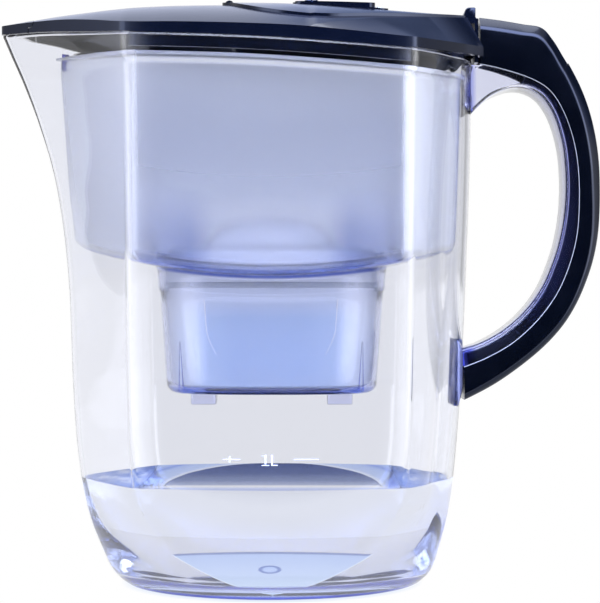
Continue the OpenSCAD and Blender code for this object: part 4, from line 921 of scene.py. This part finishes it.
lid = csg(lid_body("lid_top", 0, 0, 0.3), ("DIFFERENCE", lid_body("x11", 2.2, 2.2, -8)), ("UNION", spine_block("x12")), ("UNION", inner_works),
          ("DIFFERENCE", box("x13", 91.6, 101.6, -14, 14, 225, 265)), ("DIFFERENCE", seat), ("DIFFERENCE", box("x14", 84, 104, -10.2, 10.2, 249.6, 259.6)),
          ("DIFFERENCE", opening), ("DIFFERENCE", rod_y("x15", HX, HZ, 3.9, -25.5, 25.5)), ("DIFFERENCE", box("x16", -135, SX, -40, 40, 225, 275)), ("DIFFERENCE", rod_y("x17", SX, SZ, 2.65, -30, 30)))
for s in (-1, 1):
    lid = csg(lid, ("UNION", ear("x18", HX, HZ, 2.1, s * 14.4 - 1.8, s * 14.4 + 1.8, [[HX - 3, 251.5], [HX + 3, 251.5]])),
              ("UNION", csg(ear("x19", SX, SZ, 2.1, s * 10.9 - 1.5, s * 10.9 + 1.5, [[SX - 1.6, 247.2], [SX + 4.4, 247.0], [SX + 4.4, 249.6]]), ("INTERSECT", lifted(lid_body("x38", 0, 0, -14), 0.05)))))
put(lid, M["lid"], "lid", ["lid_shell"])

sf = csg(box("x20", -135, SX - 0.4, -40, 40, 225, 275), ("DIFFERENCE", lid_body("x21", 2, 2, -8)), ("UNION", rod_y("x22", SX, SZ, 2.3, -30, 30)))
for s in (-1, 1):
    sf = csg(sf, ("DIFFERENCE", rod_y("x23", SX, SZ, 2.6, s * 10.9 - 1.85, s * 10.9 + 1.85)))
spout_flap = csg(lid_body("spout_cover", 0, 0, 0.3), ("INTERSECT", sf))
put(spout_flap, M["lid"], "spout_flap", ["spout_flap"])

ff = csg(flap_prism("fill_cover", 0, 230, 280), ("INTERSECT", lifted(lid_body("x30", 0, 0, -14), 1.2)), ("INTERSECT", box("x31", -40, 86, -80, 80, 200, 300)), ("DIFFERENCE", lifted(lid_body("x32", 0, 0, -14), -1.0)),
         ("UNION", csg(rod_y("x33", HX, HZ, 2.0, -12.3, 12.3), ("INTERSECT", lifted(lid_body("x34", 0, 0, -14), 1.6)))),
         ("UNION", box("x35", 84.4, 91.1, -9.6, 9.6, 250.1, 252)))
for s in (-1, 1):
    ff = csg(ff, ("DIFFERENCE", box("x36", HX - 6, HX + 2.8, s * 14.4 - 2.15, s * 14.4 + 2.15, 240, 270)))
ff = csg(ff, ("DIFFERENCE", prism("x37", slab_poly(14, 50, 18, 3), 240, 270)))
put(ff, M["flap"], "fill_flap", ["fill_flap"])
tab_sec = [[91.05, 251.5], [91.05, 256.5], [90.5, 256.9], [88.2, 256.85]]
tab_sec += [[88.2 + 1.95 * math.cos(a) * 1.0, 254.9 + 1.95 * math.sin(a)] for a in np.radians([100, 115, 130, 145, 160, 175])]
tab_sec += [[85.6, 253.2], [84.9, 252.2], [84.7, 251.5]]


def tab_ring(y, k):
    c = np.array([88.6, 252.5])
    return np.array([[c[0] + (p[0] - c[0]) * k, y, c[1] + (p[1] - c[1]) * k] for p in tab_sec])


tab = loft("thumb_tab", [tab_ring(-7.5, 0.9), tab_ring(-7.3, 0.965), tab_ring(-6.8, 1.0), tab_ring(0, 1.0), tab_ring(6.8, 1.0), tab_ring(7.3, 0.965), tab_ring(7.5, 0.9)], 35)
put(tab, M["flap"], "fill_flap", ["fill_flap"])


# ---------------------------------------------------------------- indicator
def crown(name, d):
    o = lid_body(name, 0, 0, -14)
    a = math.radians(-2.5)
    for v in o.data.vertices:
        x, z = v.co.x * 1000 - 10, v.co.z * 1000 + 2.5 - 256.6
        v.co.x = (x * math.cos(a) + z * math.sin(a) + 10) * 0.001
        v.co.z = (-x * math.sin(a) + z * math.cos(a) + 256.6 - d) * 0.001
    return o


top = csg(prism("indicator_shell", slab_poly(10.4, 45.8, 20, 4), 240, 270), ("INTERSECT", crown("y1", 0)))
low = csg(prism("y2", slab_poly(9.4, 51.6, 21.5, 5), 240, 270), ("INTERSECT", lifted(lid_body("y3", 0, 0, -14), 1.9)))
tub = csg(prism("y4", slab_poly(14.4, 49.6, 17.6, 3), 246.6, 262), ("INTERSECT", lifted(lid_body("y5", 0, 0, -14), 1.7)))
room = csg(prism("y6", slab_poly(15.8, 44.4, 16.2, 2), 240, 270), ("INTERSECT", crown("y7", 1.4)))
room2 = csg(prism("y8", slab_poly(15.8, 48.2, 16.2, 2), 240, 270), ("INTERSECT", lifted(lid_body("y9", 0, 0, -14), 0.2)))
hole = np.linspace(0, 2 * np.pi, 48, endpoint=False)
house = csg(top, ("UNION", low), ("DIFFERENCE", lifted(lid_body("y10", 0, 0, -14), 1.24)), ("UNION", tub), ("DIFFERENCE", room), ("DIFFERENCE", room2),
            ("DIFFERENCE", prism("y11", slab_poly(23, 40, 11, 1.5), 250, 270)), ("DIFFERENCE", prism("y12", np.c_[17.6 + 3.3 * np.cos(hole), -9.4 + 3.3 * np.sin(hole)], 250, 270)),
            ("DIFFERENCE", box("y13", 46.7, 49.1, -15.7, -8.3, 250, 270)))
put(house, M["flap"], "fill_flap", ["indicator_housing"])

for node, m in (("cartridge_seal", "seal"), ("inlet_mesh", "mesh"), ("carbon_bed", "carbon"), ("resin_bed", "resin"), ("outlet_mesh", "mesh"),
                ("spout_flap_pin", "steel"), ("fill_flap_pin", "steel"), ("display_window", "window"), ("indicator_lens", "lens"), ("lcd_panel", "lcd"),
                ("circuit_board", "board"), ("status_led", "led"), ("coin_cell", "steel"), ("module_cover", "flap"), ("module_screws", "steel"), ("reset_button", "button")):
    repaint(node, M[m])

# ---------------------------------------------------------------- water, floor, light
LEVEL = 47.0
R = []
for z in (3.2, 3.4, 3.8, 4.6, 5.6, 7, 9, 12, 16, 21, 27, 34, 41, 45, LEVEL):
    r = jug_ring(z, jug_inset(z) - 0.12 + (4.2 if z < 3.5 else (2.8 if z < 4 else (1.4 if z < 5 else (0.5 if z < 6 else 0)))))
    r[:, 2] = z
    R.append(r)
water = loft("water", R, 40)
m, nt, out = mat("water")
p = principled(nt, IOR=1.333, Roughness=0.0)
p.inputs["Transmission Weight"].default_value = 1.0
p.inputs["Base Color"].default_value = (0.94, 0.96, 1.0, 1)
nt.links.new(bump(nt, noise(nt, texco(nt), 18, 2), 0.05, 0.0004), p.inputs["Normal"])
nt.links.new(p.outputs[0], out.inputs["Surface"])
water.data.materials.append(m)
# Painted reflection: the water surface is coloured with the view through and off it. The painted parts are a dark lens
# that darkens toward the back, ringed by a light arch, a white line near the front, and blue streaks in the corners
# standing in for caustics.
m, nt, out = mat("water_top_painted_reflection")
p = principled(nt, IOR=1.004, Roughness=0.0)
p.inputs["Transmission Weight"].default_value = 1.0
sx = nt.nodes.new("ShaderNodeSeparateXYZ")
nt.links.new(texco(nt), sx.inputs[0])
ripple = span(nt, noise(nt, texco(nt), 30, 2), -0.02, 0.02)
ex = math_node(nt, "DIVIDE", math_node(nt, "ADD", sx.outputs[0], -0.0008), 0.0465)
ey = math_node(nt, "DIVIDE", math_node(nt, "ADD", sx.outputs[1], 0.050), 0.121)
rr = math_node(nt, "SQRT", math_node(nt, "ADD", math_node(nt, "POWER", ex, 2.0), math_node(nt, "POWER", ey, 2.0)))
arch_reflection = ramp(nt, span(nt, math_node(nt, "ADD", rr, ripple), 0.0, 1.0, 0.0, 2.0), [(0.0, (0.010, 0.02, 0.11)), (0.47, (0.013, 0.024, 0.12)), (0.492, (0.02, 0.04, 0.2)), (0.5, (0.75, 0.82, 0.98)), (0.53, (0.4, 0.52, 0.9)), (0.62, (0.3, 0.42, 0.86)), (0.66, (0.12, 0.2, 0.7)), (0.72, (0.35, 0.48, 0.9)), (1.0, (0.16, 0.28, 0.8))])
depth_shade = ramp(nt, span(nt, sx.outputs[1], 0.0, 1.0, -0.047, 0.071), [(0.0, (1.0, 1.0, 1.0)), (0.05, (0.26, 0.31, 0.5)), (0.2, (0.09, 0.12, 0.27)), (0.5, (0.02, 0.032, 0.13)), (1.0, (0.006, 0.012, 0.07))])
arch_reflection = blend_rgb(nt, span(nt, math_node(nt, "ADD", rr, ripple), 1.0, 0.0, 0.975, 0.985), arch_reflection, depth_shade)
front_glint = ramp(nt, span(nt, sx.outputs[1], 0.0, 1.0, -0.064, -0.04), [(0.0, (0.4, 0.46, 0.84)), (0.42, (0.6, 0.68, 0.95)), (0.5, (0.98, 0.98, 1.0)), (0.66, (0.98, 0.98, 1.0)), (0.72, (0.0, 0.0, 0.0))])
pick = span(nt, sx.outputs[1], 0.0, 1.0, -0.0478, -0.0468)
corner = span(nt, math_node(nt, "ABSOLUTE", sx.outputs[0]), 0.0, 1.0, 0.053, 0.058)
caustic_streak = ramp(nt, noise(nt, texco(nt, (1.0, 0.3, 1.0)), 110, 3), [(0.35, (0.2, 0.32, 0.72)), (0.5, (0.36, 0.5, 0.86)), (0.65, (0.75, 0.83, 0.98))])
nt.links.new(blend_rgb(nt, corner, blend_rgb(nt, pick, front_glint, arch_reflection), caustic_streak), p.inputs["Base Color"])
nt.links.new(math_node(nt, "SUBTRACT", 1.0, math_node(nt, "MULTIPLY", corner, 0.8)), p.inputs["Transmission Weight"])
nt.links.new(p.outputs[0], out.inputs["Surface"])
water.data.materials.append(m)
# Painted glow: at the front, the water's bottom faces glow inside a V with a painted picture of the shaded floor seen
# through the jug's base. It is pale blue, darker toward its top edge and lighter at its sides, with the gate nub drawn
# as a dark ring.
m, nt, out = mat("water_foot_painted_glow")
p = principled(nt, IOR=1.333, Roughness=0.0)
p.inputs["Transmission Weight"].default_value = 1.0
e = nt.nodes.new("ShaderNodeEmission")
sx = nt.nodes.new("ShaderNodeSeparateXYZ")
nt.links.new(texco(nt), sx.inputs[0])
ax = math_node(nt, "ABSOLUTE", math_node(nt, "ADD", sx.outputs[0], -0.001))
hz = math_node(nt, "POWER", math_node(nt, "MAXIMUM", math_node(nt, "DIVIDE", math_node(nt, "ADD", sx.outputs[2], -0.0035), 0.0175), 0.00001), 0.6)
half = math_node(nt, "MULTIPLY", hz, 0.045)
edge_d = math_node(nt, "SUBTRACT", half, ax)
top_z = math_node(nt, "MULTIPLY_ADD", math_node(nt, "POWER", sx.outputs[0], 2.0), -1.2, 0.0213)
top_d = math_node(nt, "SUBTRACT", top_z, sx.outputs[2])
inside = math_node(nt, "MULTIPLY", math_node(nt, "MULTIPLY", span(nt, edge_d, 0.0, 0.9, -0.0003, 0.0003), span(nt, top_d, 0.0, 1.0, -0.0002, 0.0002)), span(nt, sx.outputs[1], 1.0, 0.0, -0.03, -0.025))
painted_shading = ramp(nt, span(nt, top_d, 0.0, 1.0, 0.0, 0.018), [(0.0, (0.2, 0.25, 0.5)), (0.03, (0.24, 0.3, 0.58)), (0.06, (0.5, 0.62, 0.93)), (0.5, (0.58, 0.7, 0.97)), (1.0, (0.66, 0.8, 1.0))])
painted_shading = blend_rgb(nt, span(nt, edge_d, 0.0, 1.0, 0.0004, 0.0012), (0.8, 0.87, 1.0), painted_shading)
nub_x = math_node(nt, "POWER", math_node(nt, "DIVIDE", sx.outputs[0], 0.0043), 2.0)
nub_z = math_node(nt, "POWER", math_node(nt, "DIVIDE", math_node(nt, "ADD", sx.outputs[2], -0.0138), 0.0016), 2.0)
nub = ramp(nt, math_node(nt, "MULTIPLY", math_node(nt, "SQRT", math_node(nt, "ADD", nub_x, nub_z)), 0.5), [(0.0, (0.95, 0.97, 1.0)), (0.3, (0.85, 0.9, 1.0)), (0.42, (0.35, 0.4, 0.66)), (0.5, (0.35, 0.4, 0.66)), (0.6, (1.0, 1.0, 1.0))])
nt.links.new(blend_rgb(nt, 1.0, painted_shading, nub, "MULTIPLY"), e.inputs["Color"])
ms = nt.nodes.new("ShaderNodeMixShader")
nt.links.new(inside, ms.inputs[0])
nt.links.new(p.outputs[0], ms.inputs[1])
nt.links.new(e.outputs[0], ms.inputs[2])
nt.links.new(ms.outputs[0], out.inputs["Surface"])
water.data.materials.append(m)
# Front bottom faces take the painted glow, the top faces the painted reflection.
for f in water.data.polygons:
    if max(water.data.vertices[i].co.z for i in f.vertices) < 0.0275 and f.center.y < -0.025:
        f.material_index = 2
    if f.normal.z > 0.95 and min(water.data.vertices[i].co.z for i in f.vertices) > LEVEL * 0.001 - 1e-5:
        f.material_index = 1


def emitter(name, color, strength, diffuse=0.0):
    m, nt, out = mat(name)
    e = nt.nodes.new("ShaderNodeEmission")
    e.inputs["Strength"].default_value = strength
    c = ramp(nt, noise(nt, texco(nt), 3, 2), [(0.2, tuple(x * 0.995 for x in color)), (0.8, color)])
    nt.links.new(c, e.inputs["Color"])
    nt.links.new(e.outputs[0], out.inputs["Surface"])
    return m


def sheet(name, pts, faces, material):
    me = bpy.data.meshes.new(name)
    me.from_pydata(pts, [], faces)
    o = bpy.data.objects.new(name, me)
    bpy.context.scene.collection.objects.link(o)
    me.shade_smooth()
    me.materials.append(material)
    return o


def floor_shade():
    """bright seamless white, bluer and darker in the shade under the jug"""
    m, nt, out = mat("pale_floor")
    e = nt.nodes.new("ShaderNodeEmission")
    tc = nt.nodes.new("ShaderNodeTexCoord")
    mp = nt.nodes.new("ShaderNodeMapping")
    mp.inputs["Scale"].default_value = (1 / 0.068, 1 / 0.064, 0.0)
    nt.links.new(tc.outputs["Object"], mp.inputs["Vector"])
    ln = nt.nodes.new("ShaderNodeVectorMath")
    ln.operation = "LENGTH"
    nt.links.new(mp.outputs[0], ln.inputs[0])
    nt.links.new(ramp(nt, ln.outputs["Value"], [(0.0, (0.42, 0.5, 0.78)), (0.7, (0.46, 0.55, 0.85)), (0.9, (0.8, 0.86, 0.98)), (1.0, (1.0, 1.0, 1.0))]), e.inputs["Color"])
    nt.links.new(e.outputs[0], out.inputs["Surface"])
    return m


gx = [-9, -4, -2, -1, -0.5, -0.25, -0.14, -0.09, -0.045, 0, 0.045, 0.09, 0.14, 0.25, 0.5, 1, 2, 4, 9]
gy = [-0.22, -0.14, -0.09, -0.045, 0, 0.045, 0.09, 0.14, 0.25, 0.5, 1, 2, 4, 9]
pts = [(a, b, -0.0003) for b in gy for a in gx]
fcs = [(j * len(gx) + i, j * len(gx) + i + 1, (j + 1) * len(gx) + i + 1, (j + 1) * len(gx) + i) for j in range(len(gy) - 1) for i in range(len(gx) - 1)]
sheet("floor", pts, fcs, floor_shade())

# a white tent all round; the dark gap where the lens looks in shows only in reflections
w = bpy.data.worlds.new("studio")
bpy.context.scene.world = w
w.use_nodes = True
wt = w.node_tree
bg = wt.nodes["Background"]
tc = wt.nodes.new("ShaderNodeTexCoord")
sw = wt.nodes.new("ShaderNodeSeparateXYZ")
wt.links.new(tc.outputs["Generated"], sw.inputs[0])
ahead = math_node(wt, "MULTIPLY", sw.outputs[1], -1.0)
across = math_node(wt, "ABSOLUTE", sw.outputs[0])
gap_az = span(wt, math_node(wt, "SUBTRACT", ahead, across), 0.0, 1.0, -0.1, 0.2)
gap_el = span(wt, math_node(wt, "ABSOLUTE", math_node(wt, "ADD", sw.outputs[2], -0.02)), 1.0, 0.0, 0.24, 0.42)
lp = wt.nodes.new("ShaderNodeLightPath")
bounced = math_node(wt, "MINIMUM", math_node(wt, "ADD", lp.outputs["Glossy Depth"], lp.outputs["Diffuse Depth"]), 1.0)
mirror = math_node(wt, "MINIMUM", lp.outputs["Glossy Depth"], 1.0)
matt = math_node(wt, "MINIMUM", lp.outputs["Diffuse Depth"], 1.0)
gap = math_node(wt, "MULTIPLY", math_node(wt, "MULTIPLY", gap_az, gap_el), math_node(wt, "MULTIPLY", mirror, math_node(wt, "SUBTRACT", 1.0, matt)))
back = span(wt, sw.outputs[1], 0.0, 1.0, 0.0, 0.2)
high = ramp(wt, sw.outputs[2], [(0.17, (1.0, 1.0, 1.0)), (0.32, (0.72, 0.78, 1.0))])
flank = math_node(wt, "MULTIPLY", math_node(wt, "MULTIPLY", back, span(wt, across, 0.0, 0.5, 0.36, 0.52)), bounced)
card = math_node(wt, "MULTIPLY", math_node(wt, "MULTIPLY", back, span(wt, sw.outputs[0], 0.0, 0.85, -0.02, 0.085)), math_node(wt, "MULTIPLY", span(wt, sw.outputs[2], 0.0, 1.0, 0.2, 0.3), span(wt, sw.outputs[2], 1.0, 0.0, 0.6, 0.75)))
dim = math_node(wt, "MULTIPLY", math_node(wt, "SUBTRACT", 1.0, flank), math_node(wt, "SUBTRACT", 1.0, card))
wt.links.new(blend_rgb(wt, gap, blend_rgb(wt, math_node(wt, "MINIMUM", card, 1.0), high, (0.6, 0.85, 1.7)), (0.03, 0.035, 0.05)), bg.inputs["Color"])
upper = wt.nodes.new("ShaderNodeVectorMath")
upper.operation = "DOT_PRODUCT"
upper.inputs[1].default_value = (0.0, -0.707, 0.707)
wt.links.new(tc.outputs["Generated"], upper.inputs[0])
glow = math_node(wt, "ADD", span(wt, ahead, 0.0, 2.6, 0.0, 0.3), math_node(wt, "ADD", span(wt, sw.outputs[2], 0.0, 0.25, 0.17, 0.34), span(wt, upper.outputs["Value"], 0.0, 6.5, 0.72, 0.95)))
power = math_node(wt, "ADD", math_node(wt, "MULTIPLY", math_node(wt, "MULTIPLY", glow, bounced), math_node(wt, "SUBTRACT", 1.0, gap)), 1.0)
wt.links.new(math_node(wt, "MULTIPLY", power, dim), bg.inputs["Strength"])


def area(name, loc, target, sx, sy, power, color=(1, 1, 1)):
    l = bpy.data.lights.new(name, "AREA")
    l.shape = "RECTANGLE"
    l.size, l.size_y = sx, sy
    l.energy = power
    l.color = color
    o = bpy.data.objects.new(name, l)
    o.location = loc
    import mathutils
    d = mathutils.Vector(target) - mathutils.Vector(loc)
    o.rotation_euler = d.to_track_quat("-Z", "Y").to_euler()
    bpy.context.scene.collection.objects.link(o)
    return o


area("top_soft", (-0.1, 0.1, 1.2), (0, 0, 0.15), 1.2, 0.7, 6, (0.95, 0.97, 1.0))
area("side_soft", (1.1, -0.5, 0.75), (0, 0, 0.15), 0.5, 0.9, 3)

# ---------------------------------------------------------------- camera
cam = bpy.data.cameras.new("camera")
cam.sensor_width = 36
cam.lens = 112.65
cam.clip_start = 0.05
cam.shift_y = -0.5 / 603
co = bpy.data.objects.new("camera", cam)
co.location = (0.0126, -0.850, 0.1257)
co.rotation_euler = (math.radians(90), 0, 0)
bpy.context.scene.collection.objects.link(co)
bpy.context.scene.camera = co
vs = bpy.context.scene.view_settings
vs.view_transform = "Standard"
vs.look = "None"
vs.exposure = 0.0
vs.gamma = 1.0
